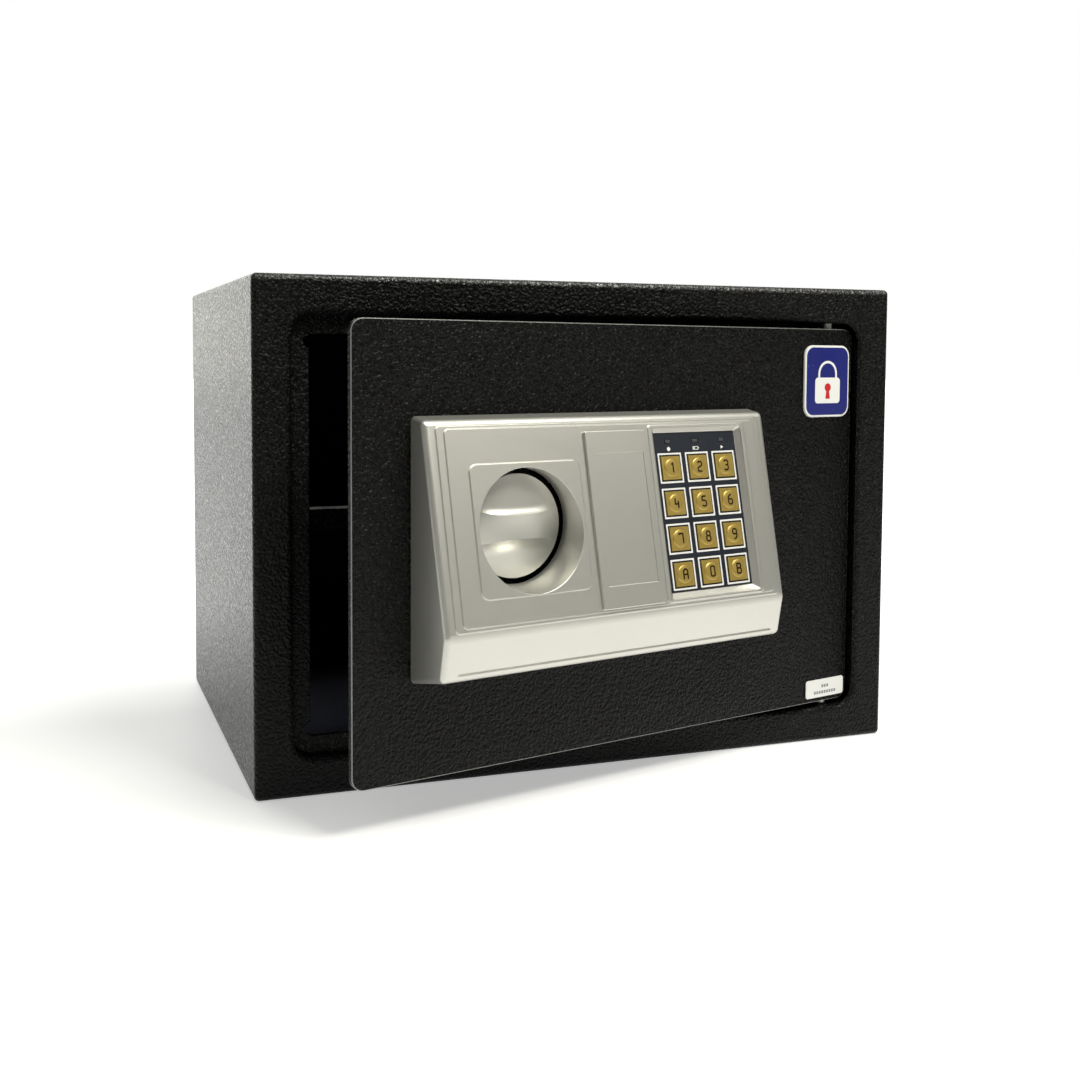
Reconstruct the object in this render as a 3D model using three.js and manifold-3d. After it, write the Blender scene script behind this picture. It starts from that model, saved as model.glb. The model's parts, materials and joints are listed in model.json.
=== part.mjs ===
// A small home safe with an electronic lock, its door ajar.
// Millimetres, X to the right, Y to the back, Z up. The origin is on the underside, in its middle.
import * as THREE from "three";
import { mergeVertices } from "three/addons/utils/BufferGeometryUtils.js";
import Module from "manifold-3d";

const wasm = await Module();
wasm.setup();

// ---------------------------------------------------------------- driving dimensions

const GAP = 0.3; // between pieces that touch
const CABINET = { width: 350, depth: 250, height: 250, sheet: 2, corner: 2.5 };
const BORDER = 19; // front frame from its outer edge to the door opening
const OPENING_CORNER = 10;
const REBATE = 7; // how far behind the front the jamb flange stands
const JAMB = { reach: 9, relief: 3, reliefUp: 3.6, hingeCut: 118, hingeLip: 20, lipFront: 0.5 };
const NOTCH = { out: 8, rise: 6, front: 2.5 }; // hollows behind the frame that the hinge blocks turn in
const ANCHOR = { radius: 5, spacing: 160, floorY: 20 };
const MAT = { thickness: 2.5, margin: 3, holeRadius: 6 };
const SHELF = { top: 125.5, front: 5, back: 119, lip: 14, sheet: 1.5, width: 342 };
const BRACKET = { leg: 14, sheet: 1.5, front: 14, back: 112 };

const DOOR = { width: 306, height: 206, sheet: 3, corner: 6, recess: 2, ajar: 13.5 };
const PIVOT = { fromEdge: 12, behindFace: 7 };
const HINGE = { pin: 3, block: [20, 10.7, 16], tab: [32, 18, 3], tabFront: 2.8, overlap: 6, reach: 9 };

const PAN = { left: 18, right: 272, bottom: 12, top: 194, back: 30, sheet: 1.2 };
const SCREW = { radius: 2, head: 4.2, inset: 12, boss: 4.5, bossBack: 12, rise: 2.6, taper: 0.8 };
const CROSS = { width: 1, length: 6, floor: 1.8 };

// Lock housing on the door's face. v is the height and w the stand-off from the door plate.
const HOUSING = { left: 28.6, right: 230.2, wall: 2.2, draft: 0.052 };
const FACE_TOP = { v: 161.6, w: 10 };
const RIDGE = { v: 68.8, w: 29.6 };
const CHIN = { v: 49.1, w: 25.9 };
const BASE = { top: 163.4, bottom: 44.3 };

const DIAL = { u: 79, v: 112.5, radius: 24, edge: 8, crown: 13.5, spindle: 4, bore: 7 };
const DISH = { base: 26, flare: 0.085, wall: 1.8, foot: 7.4 };
const SCOOP = { off: 17.5, out: 17, radius: 11.5 };

const COVER = { left: 113, right: 149.5, top: 7, bottom: 90.5, proud: 1.5 };
const DOORWAY = { side: 4, end: 10.7, play: 0.4, tongue: 1.2, reach: 2.5 };
const KEYPAD = { middle: 183, width: 52, top: 8.7, bottom: 86.2, sunk: 1.5, sheet: 1.2, bevel: 3 };
const KEY = { pitch: 17.35, side: 11.6, firstRow: 26, proud: 0.6, back: 2.9, dome: 4.7, crest: 3.29, rise: 0.6 };
const LAMP = { row: 12.8, width: 3.2, height: 1.8, strip: 4.4, margin: 4, back: 1.1 };
const TRAY = { front: 1, back: 5, ledge: 1.8, ledgeEnd: 1.2, side: 5, end: 4 };
const BOARD = { margin: 1, thickness: 1.6 };

const SWEEP = 35; // the dial turns from +SWEEP to -SWEEP about the upright
const CRANK = { radius: 16, pin: 2.5, front: 6, back: 9, pinBack: 15.5, hub: 8, arm: 10, play: 0.8 };
const CARRIAGE = { front: 12, back: 14, left: 39, right: 106, bottom: 60, top: 165, flange: 24 };
const LIGHTENING = { left: 80, right: 98, bottom: 72, top: 100 };
const CATCH = { right: 130, bottom: 118, top: 130 };
const BOLT = { radius: 8, depth: 16, spread: 37.5, tip: 17, bevel: 1.2 };
const STUD = { u: 62, spread: 41, shank: 2.5, shoulder: 4.5, head: 4.5, headDeep: 2, play: 0.4 };

const COIL = { u: 123, y: 13, bottom: 141, top: 171, width: 22, depth: 18, sheet: 1.5, radius: 7.5, cheek: 1.5 };
const PLUNGER = { radius: 4, play: 0.5, head: 5.5, headLow: 3, headHigh: 5, inside: 14 };
const LOCK = { u: 131.3, v: 98, radius: 8, front: -14, back: 14, collar: 10, plug: 5.5 };
const KEYWAY = { width: 1.6, height: 7.5, deep: 10 };
const LEVER = { reach: 13, half: 5, sheet: 2 };

const CELLS = { left: 184, right: 246, bottom: 80, count: 4, pitch: 15.4, radius: 7, length: 50, nub: 2.7 };
const TUB = { front: 9, back: 27.5, wall: 1.5, edge: 1.2 };
const LID = { front: 30.3, sheet: 2, lip: 2, ridges: 3, margin: 4, pitch: 5, ridge: 2, ridgeLength: 26 };
const RESET = { u: 259, v: 100, radius: 3.4, flange: 5.5, flangeDeep: 1.5, front: 22, back: 33 };
const LOOM = { radius: 2, sides: 8, steps: 36, hole: 6 };

const BADGE = { left: 269, right: 303, bottom: 158, top: 197, thickness: 1.6, corner: 6 };
const LABEL = { left: 275, right: 304, bottom: 2.5, top: 12.5, thickness: 0.4, corner: 1.5 };

// ---------------------------------------------------------------- worked out from them

const rad = THREE.MathUtils.degToRad;
const halfWidth = CABINET.width / 2;
const front = -CABINET.depth / 2;
const back = CABINET.depth / 2;
const openHalf = halfWidth - BORDER;
const openBottom = BORDER;
const openTop = CABINET.height - BORDER;
const jambFront = front + REBATE;
const jambBack = jambFront + CABINET.sheet;
const pivotX = DOOR.width / 2 - PIVOT.fromEdge;
const pivotY = front + DOOR.recess + PIVOT.behindFace;
const doorBottom = (CABINET.height - DOOR.height) / 2;
const throwLength = 2 * CRANK.radius * Math.sin(rad(SWEEP));
const slope = Math.atan2(RIDGE.w - FACE_TOP.w, FACE_TOP.v - RIDGE.v);
const cellsTop = CELLS.bottom + CELLS.count * CELLS.pitch + 2 * TUB.edge;

// From the housing's sloping face (X along the door, Y into the face, Z up the slope) to the door sheet.
const FACE = new THREE.Matrix4()
  .makeRotationX(-slope)
  .setPosition(0, -FACE_TOP.w, FACE_TOP.v);

// ---------------------------------------------------------------- solids

function solidOf(geometry, matrix) {
  const plain = geometry.index ? geometry.toNonIndexed() : geometry;
  plain.deleteAttribute("normal");
  plain.deleteAttribute("uv");
  if (matrix) plain.applyMatrix4(matrix);
  const merged = mergeVertices(plain, 1e-4);
  return new wasm.Manifold(
    new wasm.Mesh({
      numProp: 3,
      vertProperties: merged.attributes.position.array,
      triVerts: new Uint32Array(merged.index.array),
    }),
  );
}

function geometryOf(solid) {
  const mesh = solid.getMesh();
  const count = mesh.vertProperties.length / mesh.numProp;
  const points = new Float32Array(count * 3);
  for (let i = 0; i < count; i++) {
    const at = i * mesh.numProp;
    points.set(mesh.vertProperties.subarray(at, at + 3), i * 3);
  }
  const geometry = new THREE.BufferGeometry();
  geometry.setAttribute("position", new THREE.BufferAttribute(points, 3));
  geometry.setIndex(new THREE.BufferAttribute(new Uint32Array(mesh.triVerts), 1));
  geometry.computeVertexNormals();
  return geometry;
}

function around(middle, size) {
  return [middle - size / 2, middle + size / 2];
}

function widen([low, high], by) {
  return [low - by, high + by];
}

function join(first, ...others) {
  return others.reduce((whole, next) => whole.add(next), first);
}

function cut(first, ...others) {
  return others.reduce((whole, next) => whole.subtract(next), first);
}

function box(x, y, z, matrix) {
  const shape = new THREE.BoxGeometry(x[1] - x[0], y[1] - y[0], z[1] - z[0]);
  shape.translate((x[0] + x[1]) / 2, (y[0] + y[1]) / 2, (z[0] + z[1]) / 2);
  return solidOf(shape, matrix);
}

// A round bar along an axis. "across" is its place on the other two axes, in X, Y, Z order.
function rod(axis, across, from, to, radius, sides = 24, endRadius = radius) {
  const shape = new THREE.CylinderGeometry(endRadius, radius, to - from, sides);
  const middle = (from + to) / 2;
  if (axis === "x") {
    shape.rotateZ(-Math.PI / 2);
    shape.translate(middle, across[0], across[1]);
  } else if (axis === "y") {
    shape.translate(across[0], middle, across[1]);
  } else {
    shape.rotateX(Math.PI / 2);
    shape.translate(across[0], across[1], middle);
  }
  return solidOf(shape);
}

function roundedRectangle(x, z, radius) {
  const shape = new THREE.Shape();
  const quarter = Math.PI / 2;
  const corners = [
    [x[1] - radius, z[0] + radius, -quarter],
    [x[1] - radius, z[1] - radius, 0],
    [x[0] + radius, z[1] - radius, quarter],
    [x[0] + radius, z[0] + radius, 2 * quarter],
  ];
  for (const [cx, cz, start] of corners) shape.absarc(cx, cz, radius, start, start + quarter, false);
  shape.closePath();
  return shape;
}

// A shape drawn in X and Z, as a plate from y[0] to y[1].
function plate(shape, y, curveSegments = 6) {
  const flat = new THREE.ExtrudeGeometry(shape, { depth: y[1] - y[0], bevelEnabled: false, curveSegments });
  flat.rotateX(Math.PI / 2);
  flat.translate(0, y[1], 0);
  return solidOf(flat);
}

function roundedPlate(x, z, radius, y) {
  return plate(roundedRectangle(x, z, radius), y);
}

// A box whose back rectangle is smaller than its front one by "taper" on every side.
function taperedBox(x, y, z, taper, matrix) {
  const shape = new THREE.BoxGeometry(x[1] - x[0], y[1] - y[0], z[1] - z[0]);
  shape.translate((x[0] + x[1]) / 2, (y[0] + y[1]) / 2, (z[0] + z[1]) / 2);
  const points = shape.attributes.position;
  const middle = (y[0] + y[1]) / 2;
  const middleX = (x[0] + x[1]) / 2;
  const middleZ = (z[0] + z[1]) / 2;
  for (let i = 0; i < points.count; i++) {
    if (points.getY(i) < middle) continue;
    points.setX(i, points.getX(i) - Math.sign(points.getX(i) - middleX) * taper);
    points.setZ(i, points.getZ(i) - Math.sign(points.getZ(i) - middleZ) * taper);
  }
  return solidOf(shape, matrix);
}

// ---------------------------------------------------------------- scene graph

const safe = new THREE.Group();
const door = new THREE.Group(); // turns about the hinge pins
door.position.set(pivotX, pivotY, 0);
door.rotation.z = rad(DOOR.ajar);
safe.add(door);
// X from the door's free edge, Y back from its front face, Z from its lower edge
const sheet = new THREE.Group();
sheet.position.set(PIVOT.fromEdge - DOOR.width, -PIVOT.behindFace, doorBottom);
door.add(sheet);
// X as in the sheet, Y into the housing's face, Z up its slope from the top edge
const face = new THREE.Group();
face.applyMatrix4(FACE);
sheet.add(face);

const material = (color, metalness, roughness) =>
  new THREE.MeshStandardMaterial({ color, metalness, roughness });

const MATERIALS = {
  powderCoat: () => material(0x121212, 0.1, 0.55),
  zincSteel: () => material(0xb9bcbd, 0.95, 0.38),
  chromeSteel: () => material(0xd8dadb, 1, 0.18),
  blackSteel: () => material(0x202224, 0.7, 0.5),
  silverPaint: () => material(0xb4b0a6, 0.45, 0.42),
  blackFilm: () => material(0x12161d, 0, 0.35),
  goldKey: () => material(0xb8963f, 0.5, 0.4),
  darkLens: () => material(0x2a2f33, 0, 0.2),
  board: () => material(0x1f5a32, 0, 0.5),
  carpet: () => material(0x1b2340, 0, 0.95),
  copper: () => material(0xa4552b, 0.8, 0.4),
  brass: () => material(0xb59a55, 0.9, 0.3),
  blackPlastic: () => material(0x1b1b1c, 0, 0.5),
  redPlastic: () => material(0xb3201c, 0, 0.4),
  cellWrap: () => material(0x3b4046, 0.2, 0.35),
  badge: () => material(0x1a2560, 0, 0.2),
  label: () => material(0xe9e9e6, 0, 0.6),
  cable: () => material(0x26282a, 0, 0.55),
};

function add(group, name, solid, finish) {
  const mesh = new THREE.Mesh(geometryOf(solid), MATERIALS[finish]());
  mesh.name = name;
  group.add(mesh);
}

// ---------------------------------------------------------------- cabinet

function frontFrame() {
  const outer = roundedRectangle([-halfWidth, halfWidth], [0, CABINET.height], CABINET.corner);
  outer.holes.push(roundedRectangle([-openHalf, openHalf], [openBottom, openTop], OPENING_CORNER));
  const border = plate(outer, [front, front + CABINET.sheet]);
  const folded = roundedRectangle(
    [-openHalf - CABINET.sheet, openHalf + CABINET.sheet],
    [openBottom - CABINET.sheet, openTop + CABINET.sheet],
    OPENING_CORNER + CABINET.sheet,
  );
  const fold = cut(
    plate(folded, [front, jambBack]),
    roundedPlate([-openHalf, openHalf], [openBottom, openTop], OPENING_CORNER, [front - 1, jambFront]),
  );
  const throughHalf = openHalf - JAMB.reach;
  const through = [openBottom + JAMB.reach, openTop - JAMB.reach];
  const behind = [front + NOTCH.front, jambBack + 1];
  const hingeSide = [
    box([JAMB.hingeCut, openHalf], [front - 1, jambBack + 1], through),
    box([JAMB.hingeCut, openHalf + NOTCH.out], behind, [openBottom - NOTCH.rise, through[0] + 1]),
    box([JAMB.hingeCut, openHalf + NOTCH.out], behind, [through[1] - 1, openTop + NOTCH.rise]),
  ];
  const reliefs = [through[0] + JAMB.reliefUp, through[1] - JAMB.reliefUp].map((z) =>
    rod("y", [-throughHalf, z], jambFront - 1, jambBack + 1, JAMB.relief),
  );
  const hole = box([-throughHalf, throughHalf], [front - 1, jambBack + 1], through);
  const lip = box(
    [openHalf, openHalf + CABINET.sheet],
    [front + JAMB.lipFront, front + JAMB.hingeLip],
    [through[0] + 1, through[1] - 1],
  );
  return join(cut(join(border, fold), hole, ...hingeSide, ...reliefs), lip);
}

function bodyShell() {
  const outer = roundedRectangle([-halfWidth, halfWidth], [0, CABINET.height], CABINET.corner);
  const inner = CABINET.corner - CABINET.sheet;
  outer.holes.push(
    roundedRectangle(
      [CABINET.sheet - halfWidth, halfWidth - CABINET.sheet],
      [CABINET.sheet, CABINET.height - CABINET.sheet],
      inner,
    ),
  );
  const tube = plate(outer, [front + CABINET.sheet + GAP, back - CABINET.sheet - GAP], 4);
  const holes = [-1, 1].map((side) =>
    rod("z", [(side * ANCHOR.spacing) / 2, ANCHOR.floorY], -1, CABINET.sheet + 1, ANCHOR.radius),
  );
  return cut(tube, ...holes);
}

function backPlate() {
  return roundedPlate(
    [-halfWidth, halfWidth],
    [0, CABINET.height],
    CABINET.corner,
    [back - CABINET.sheet, back],
  );
}

function floorMat() {
  const side = halfWidth - CABINET.sheet - MAT.margin;
  const low = CABINET.sheet + GAP;
  const ends = [jambBack + MAT.margin, back - CABINET.sheet - MAT.margin];
  const holes = [-1, 1].map((way) =>
    rod("z", [(way * ANCHOR.spacing) / 2, ANCHOR.floorY], low - 1, low + MAT.thickness + 1, MAT.holeRadius),
  );
  return cut(box([-side, side], ends, [low, low + MAT.thickness]), ...holes);
}

function shelf() {
  const side = SHELF.width / 2;
  const under = SHELF.top - SHELF.sheet;
  return join(
    box([-side, side], [SHELF.front, SHELF.back], [under, SHELF.top]),
    box([-side, side], [SHELF.front, SHELF.front + SHELF.sheet], [SHELF.top - SHELF.lip, SHELF.top]),
    box([-side, side], [SHELF.back - SHELF.sheet, SHELF.back], [SHELF.top - SHELF.lip, SHELF.top]),
  );
}

// An angle under one end of the shelf, against the side wall. side is -1 on the left and 1 on the right.
function shelfBracket(side) {
  const wall = side * (halfWidth - CABINET.sheet - GAP);
  const high = SHELF.top - SHELF.sheet - GAP;
  const span = (reach) => [wall, wall - side * reach].sort((a, b) => a - b);
  const run = [BRACKET.front, BRACKET.back];
  return join(
    box(span(BRACKET.sheet), run, [high - BRACKET.leg, high]),
    box(span(BRACKET.leg), run, [high - BRACKET.sheet, high]),
  );
}

// A tab welded behind the front frame, above or below the opening, with the hole for a hinge pin.
function hingeTab(up) {
  const near = up > 0 ? openTop : openBottom - HINGE.tab[2];
  const y = [front + HINGE.tabFront, front + HINGE.tabFront + HINGE.tab[1]];
  const x = [openHalf - HINGE.tab[0], openHalf + 1];
  const z = [near, near + HINGE.tab[2]];
  return cut(box(x, y, z), rod("z", [pivotX, pivotY], z[0] - 1, z[1] + 1, HINGE.pin + GAP));
}

add(safe, "body_shell", bodyShell(), "powderCoat");
add(safe, "front_frame", frontFrame(), "powderCoat");
add(safe, "back_plate", backPlate(), "powderCoat");
add(safe, "floor_mat", floorMat(), "carpet");
add(safe, "shelf", shelf(), "powderCoat");
add(safe, "shelf_bracket_left", shelfBracket(-1), "powderCoat");
add(safe, "shelf_bracket_right", shelfBracket(1), "powderCoat");
add(safe, "hinge_tab_top", hingeTab(1), "powderCoat");
add(safe, "hinge_tab_bottom", hingeTab(-1), "powderCoat");

// ---------------------------------------------------------------- door and its hinges

const screwPlaces = [PAN.left + SCREW.inset, PAN.right - SCREW.inset].flatMap((u) =>
  [PAN.bottom + SCREW.inset, PAN.top - SCREW.inset].map((v) => [u, v]),
);

function doorPlate() {
  const whole = roundedPlate([0, DOOR.width], [0, DOOR.height], DOOR.corner, [0, DOOR.sheet]);
  const bosses = screwPlaces.map((at) =>
    cut(
      rod("y", at, DOOR.sheet - 0.5, SCREW.bossBack, SCREW.boss, 20),
      rod("y", at, DOOR.sheet + 0.5, SCREW.bossBack + 1, SCREW.radius + GAP, 16),
    ),
  );
  const holes = [
    rod("y", [DIAL.u, DIAL.v], -1, DOOR.sheet + 1, DIAL.bore),
    rod("y", [LOCK.u, LOCK.v], -1, DOOR.sheet + 1, LOCK.radius + GAP),
    rod("y", [KEYPAD.middle, DIAL.v], -1, DOOR.sheet + 1, LOOM.hole),
  ];
  return join(cut(whole, ...holes), ...bosses);
}

function innerCover() {
  const outside = box([PAN.left, PAN.right], [DOOR.sheet + GAP, PAN.back], [PAN.bottom, PAN.top]);
  const inside = box(
    [PAN.left + PAN.sheet, PAN.right - PAN.sheet],
    [0, PAN.back - PAN.sheet],
    [PAN.bottom + PAN.sheet, PAN.top - PAN.sheet],
  );
  const boltHoles = [-1, 1].map((way) =>
    rod("x", [BOLT.depth, DIAL.v + way * BOLT.spread], PAN.left - 1, PAN.left + 3, BOLT.radius + 1),
  );
  const screwHoles = screwPlaces.map((at) =>
    rod("y", at, PAN.back - 3, PAN.back + 1, SCREW.radius + GAP, 16),
  );
  const batteryHole = box(
    [CELLS.left + 2, CELLS.right - 2],
    [PAN.back - 3, PAN.back + 1],
    [CELLS.bottom + 2, cellsTop - 2],
  );
  const resetHole = rod("y", [RESET.u, RESET.v], PAN.back - 3, PAN.back + 1, RESET.radius + GAP);
  return cut(outside, inside, ...boltHoles, ...screwHoles, batteryHole, resetHole);
}

function coverScrew(at) {
  const top = PAN.back + SCREW.rise;
  const head = rod("y", at, PAN.back + GAP, top, SCREW.head, 20, SCREW.head - SCREW.taper);
  const deep = [PAN.back + CROSS.floor, top + 1];
  const slot = box(around(at[0], CROSS.length), deep, around(at[1], CROSS.width));
  const crossSlot = box(around(at[0], CROSS.width), deep, around(at[1], CROSS.length));
  const shank = rod("y", at, DOOR.sheet + 1, PAN.back + 1, SCREW.radius, 16);
  return join(cut(head, slot, crossSlot), shank);
}

// The hinge block and pin at the door's upper or lower corner, in the door's own frame.
function hingeBlock(up) {
  const [long, deep, high] = HINGE.block;
  const end = up > 0 ? doorBottom + DOOR.height : doorBottom;
  const z = up > 0 ? [end - high, end] : [end, end + high];
  const y = [DOOR.sheet + GAP - PIVOT.behindFace, DOOR.sheet + GAP - PIVOT.behindFace + deep];
  const block = box([HINGE.overlap - long, HINGE.overlap], y, z);
  return cut(block, rod("z", [0, 0], z[0] - 1, z[1] + 1, HINGE.pin + GAP));
}

function hingePin(up) {
  const end = up > 0 ? doorBottom + DOOR.height : doorBottom;
  const inner = end - up * (HINGE.block[2] - 2);
  const outer = end + up * HINGE.reach;
  return rod("z", [0, 0], Math.min(inner, outer), Math.max(inner, outer), HINGE.pin);
}

add(sheet, "door_plate", doorPlate(), "powderCoat");
add(sheet, "inner_cover", innerCover(), "powderCoat");
screwPlaces.forEach((at, i) => add(sheet, "cover_screw_" + (i + 1), coverScrew(at), "zincSteel"));
add(door, "hinge_block_top", hingeBlock(1), "powderCoat");
add(door, "hinge_block_bottom", hingeBlock(-1), "powderCoat");
add(door, "hinge_pin_top", hingePin(1), "zincSteel");
add(door, "hinge_pin_bottom", hingePin(-1), "zincSteel");

// ---------------------------------------------------------------- lock housing

// The housing's side view as [v, w] points, moved in by "inset", its open back at stand-off "level".
function housingOutline(inset, level) {
  const along = (from, to, w) => from.v + ((to.v - from.v) * (w - from.w)) / (to.w - from.w);
  const low = { v: BASE.bottom, w: GAP };
  const high = { v: BASE.top, w: GAP };
  const ring = [
    [along(low, CHIN, level), level],
    [CHIN.v, CHIN.w],
    [RIDGE.v, RIDGE.w],
    [FACE_TOP.v, FACE_TOP.w],
    [along(high, FACE_TOP, level), level],
  ];
  if (!inset) return ring;
  const sides = ring.map(([v, w], i) => {
    const [nextV, nextW] = ring[(i + 1) % ring.length];
    const length = Math.hypot(nextV - v, nextW - w);
    const normal = [(nextW - w) / length, (v - nextV) / length];
    return { normal, reach: normal[0] * v + normal[1] * w + inset };
  });
  return sides.map((one, i) => {
    const other = sides[(i + sides.length - 1) % sides.length];
    const cross = other.normal[0] * one.normal[1] - other.normal[1] * one.normal[0];
    return [
      (other.reach * one.normal[1] - other.normal[1] * one.reach) / cross,
      (other.normal[0] * one.reach - other.reach * one.normal[0]) / cross,
    ];
  });
}

function housingBlock(inset, level) {
  const shape = new THREE.Shape();
  for (const [v, w] of housingOutline(inset, level)) {
    if (shape.curves.length || shape.currentPoint.lengthSq()) shape.lineTo(-w, v);
    else shape.moveTo(-w, v);
  }
  shape.closePath();
  const left = HOUSING.left + inset;
  const right = HOUSING.right - inset;
  const block = new THREE.ExtrudeGeometry(shape, { depth: right - left, bevelEnabled: false });
  const axes = [new THREE.Vector3(0, 1, 0), new THREE.Vector3(0, 0, 1), new THREE.Vector3(1, 0, 0)];
  block.applyMatrix4(new THREE.Matrix4().makeBasis(...axes).setPosition(left, 0, 0));
  const middle = (left + right) / 2;
  const points = block.attributes.position;
  for (let i = 0; i < points.count; i++) {
    const lean = -points.getY(i) * HOUSING.draft;
    points.setX(i, points.getX(i) - Math.sign(points.getX(i) - middle) * lean);
  }
  return solidOf(block);
}

const keypadSpan = [KEYPAD.middle - KEYPAD.width / 2, KEYPAD.middle + KEYPAD.width / 2];
const keypadRise = [-KEYPAD.bottom, -KEYPAD.top];

function lockHousing() {
  const solid = housingBlock(0, GAP);
  const hollow = housingBlock(HOUSING.wall, -5);
  const at = [DIAL.u, DIAL.v];
  const reach = 40;
  const dish = rod("y", at, -reach, 0, DISH.base + DISH.flare * reach, 48, DISH.base);
  const collar = rod(
    "y",
    at,
    -reach,
    -DISH.foot,
    DISH.base + DISH.flare * reach + DISH.wall,
    48,
    DISH.base + DISH.flare * DISH.foot + DISH.wall,
  ).intersect(solid);
  const tray = box(
    widen(keypadSpan, TRAY.side),
    [TRAY.front, TRAY.back],
    widen(keypadRise, TRAY.end),
    FACE,
  ).intersect(solid);
  const seat = KEYPAD.sunk + KEYPAD.sheet + GAP;
  const pocket = taperedBox(
    widen(keypadSpan, KEYPAD.bevel),
    [-0.01, KEYPAD.sunk],
    [keypadRise[0] - KEYPAD.bevel - 1, keypadRise[1] + KEYPAD.bevel],
    KEYPAD.bevel - GAP,
    FACE,
  );
  const recess = box(widen(keypadSpan, GAP), [0, seat], widen(keypadRise, GAP), FACE);
  const window = box(
    widen(keypadSpan, -TRAY.ledge),
    [0, TRAY.back + 1],
    widen(keypadRise, -TRAY.ledgeEnd),
    FACE,
  );
  const doorway = box(
    widen([COVER.left, COVER.right], -DOORWAY.side),
    [-1, HOUSING.wall + 2],
    widen([-COVER.bottom, -COVER.top], -DOORWAY.end),
    FACE,
  );
  return cut(join(cut(solid, hollow), collar, tray), dish, pocket, recess, window, doorway);
}

function lockCover() {
  const inside = widen([COVER.left, COVER.right], -DOORWAY.side - DOORWAY.play);
  const rise = widen([-COVER.bottom, -COVER.top], -DOORWAY.end - DOORWAY.play);
  const panel = box([COVER.left, COVER.right], [-COVER.proud, -GAP], [-COVER.bottom, -COVER.top]);
  const tongue = cut(
    box(inside, [-GAP - 0.1, DOORWAY.reach], rise),
    box(widen(inside, -DOORWAY.tongue), [-GAP, DOORWAY.reach + 1], widen(rise, -DOORWAY.tongue)),
  );
  return join(panel, tongue);
}

add(sheet, "lock_housing", lockHousing(), "silverPaint");
add(face, "lock_cover", lockCover(), "silverPaint");

// ---------------------------------------------------------------- keypad

const KEY_NAMES = ["1", "2", "3", "4", "5", "6", "7", "8", "9", "A", "0", "B"];
const keyPlaces = KEY_NAMES.map((name, i) => ({
  name,
  u: KEYPAD.middle + ((i % 3) - 1) * KEY.pitch,
  z: -(KEY.firstRow + Math.floor(i / 3) * KEY.pitch),
}));
const lampPlaces = keyPlaces.slice(0, 3).map(({ u }) => u);
const filmFront = KEYPAD.sunk;
const filmBack = KEYPAD.sunk + KEYPAD.sheet;

function keypadPanel() {
  const film = box(keypadSpan, [filmFront, filmBack], keypadRise);
  const keyHoles = keyPlaces.map(({ u, z }) =>
    box(around(u, KEY.side + 2 * GAP), [0, 5], around(z, KEY.side + 2 * GAP)),
  );
  const lampHoles = lampPlaces.map((u) =>
    box(around(u, LAMP.width + 2 * GAP), [0, 5], around(-LAMP.row, LAMP.height + 2 * GAP)),
  );
  return cut(film, ...keyHoles, ...lampHoles);
}

function key({ u, z }) {
  const top = filmFront - KEY.proud;
  const block = box(around(u, KEY.side), [top, KEY.back], around(z, KEY.side));
  const dome = rod("y", [u, z], top - KEY.rise, top + 0.1, KEY.crest, 20, KEY.dome);
  return join(block, dome);
}

function indicatorLens() {
  const strip = box(
    [lampPlaces[0] - LAMP.margin, lampPlaces[2] + LAMP.margin],
    [filmBack + GAP, filmBack + LAMP.back],
    around(-LAMP.row, LAMP.strip),
  );
  const windows = lampPlaces.map((u) =>
    box(around(u, LAMP.width), [filmFront - 0.1, filmBack + 0.5], around(-LAMP.row, LAMP.height)),
  );
  return join(strip, ...windows);
}

function keypadBoard() {
  const y = [TRAY.back + GAP, TRAY.back + GAP + BOARD.thickness];
  return box(widen(keypadSpan, -BOARD.margin), y, widen(keypadRise, -BOARD.margin));
}

add(face, "keypad_panel", keypadPanel(), "blackFilm");
keyPlaces.forEach((place) => add(face, "key_" + place.name, key(place), "goldKey"));
add(face, "indicator_lens", indicatorLens(), "darkLens");
add(face, "keypad_board", keypadBoard(), "board");

// ---------------------------------------------------------------- dial, crank and bolt work

function dial() {
  const profile = [new THREE.Vector2(0, 1), new THREE.Vector2(DIAL.radius, 1)];
  const rise = DIAL.crown - DIAL.edge;
  const curve = (DIAL.radius ** 2 + rise ** 2) / (2 * rise);
  const steps = 6;
  for (let i = 0; i < steps; i++) {
    const r = DIAL.radius * (1 - i / steps);
    profile.push(new THREE.Vector2(r, DIAL.crown - curve + Math.sqrt(curve ** 2 - r ** 2)));
  }
  profile.push(new THREE.Vector2(0, DIAL.crown));
  const turned = new THREE.LatheGeometry(profile, 48);
  turned.rotateX(Math.PI);
  turned.translate(DIAL.u, 0, DIAL.v);
  const scoops = [-1, 1].map((way) =>
    rod("x", [-SCOOP.out, DIAL.v + way * SCOOP.off], DIAL.u - 40, DIAL.u + 40, SCOOP.radius, 32),
  );
  const spindle = rod("y", [DIAL.u, DIAL.v], -2, CRANK.back + 0.5, DIAL.spindle);
  return join(cut(solidOf(turned), ...scoops), spindle);
}

function crank() {
  const lean = rad(SWEEP);
  const pinAt = [DIAL.u + CRANK.radius * Math.sin(lean), DIAL.v + CRANK.radius * Math.cos(lean)];
  const level = [CRANK.front, CRANK.back];
  const arm = new THREE.BoxGeometry(CRANK.arm, level[1] - level[0], CRANK.radius);
  arm.translate(0, (level[0] + level[1]) / 2, CRANK.radius / 2);
  arm.rotateY(lean);
  arm.translate(DIAL.u, 0, DIAL.v);
  const body = join(
    rod("y", [DIAL.u, DIAL.v], ...level, CRANK.hub),
    solidOf(arm),
    rod("y", pinAt, ...level, CRANK.arm / 2),
  );
  const bored = cut(body, rod("y", [DIAL.u, DIAL.v], 0, 20, DIAL.spindle + GAP));
  return join(bored, rod("y", pinAt, CRANK.back - 0.5, CRANK.pinBack, CRANK.pin));
}

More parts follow.
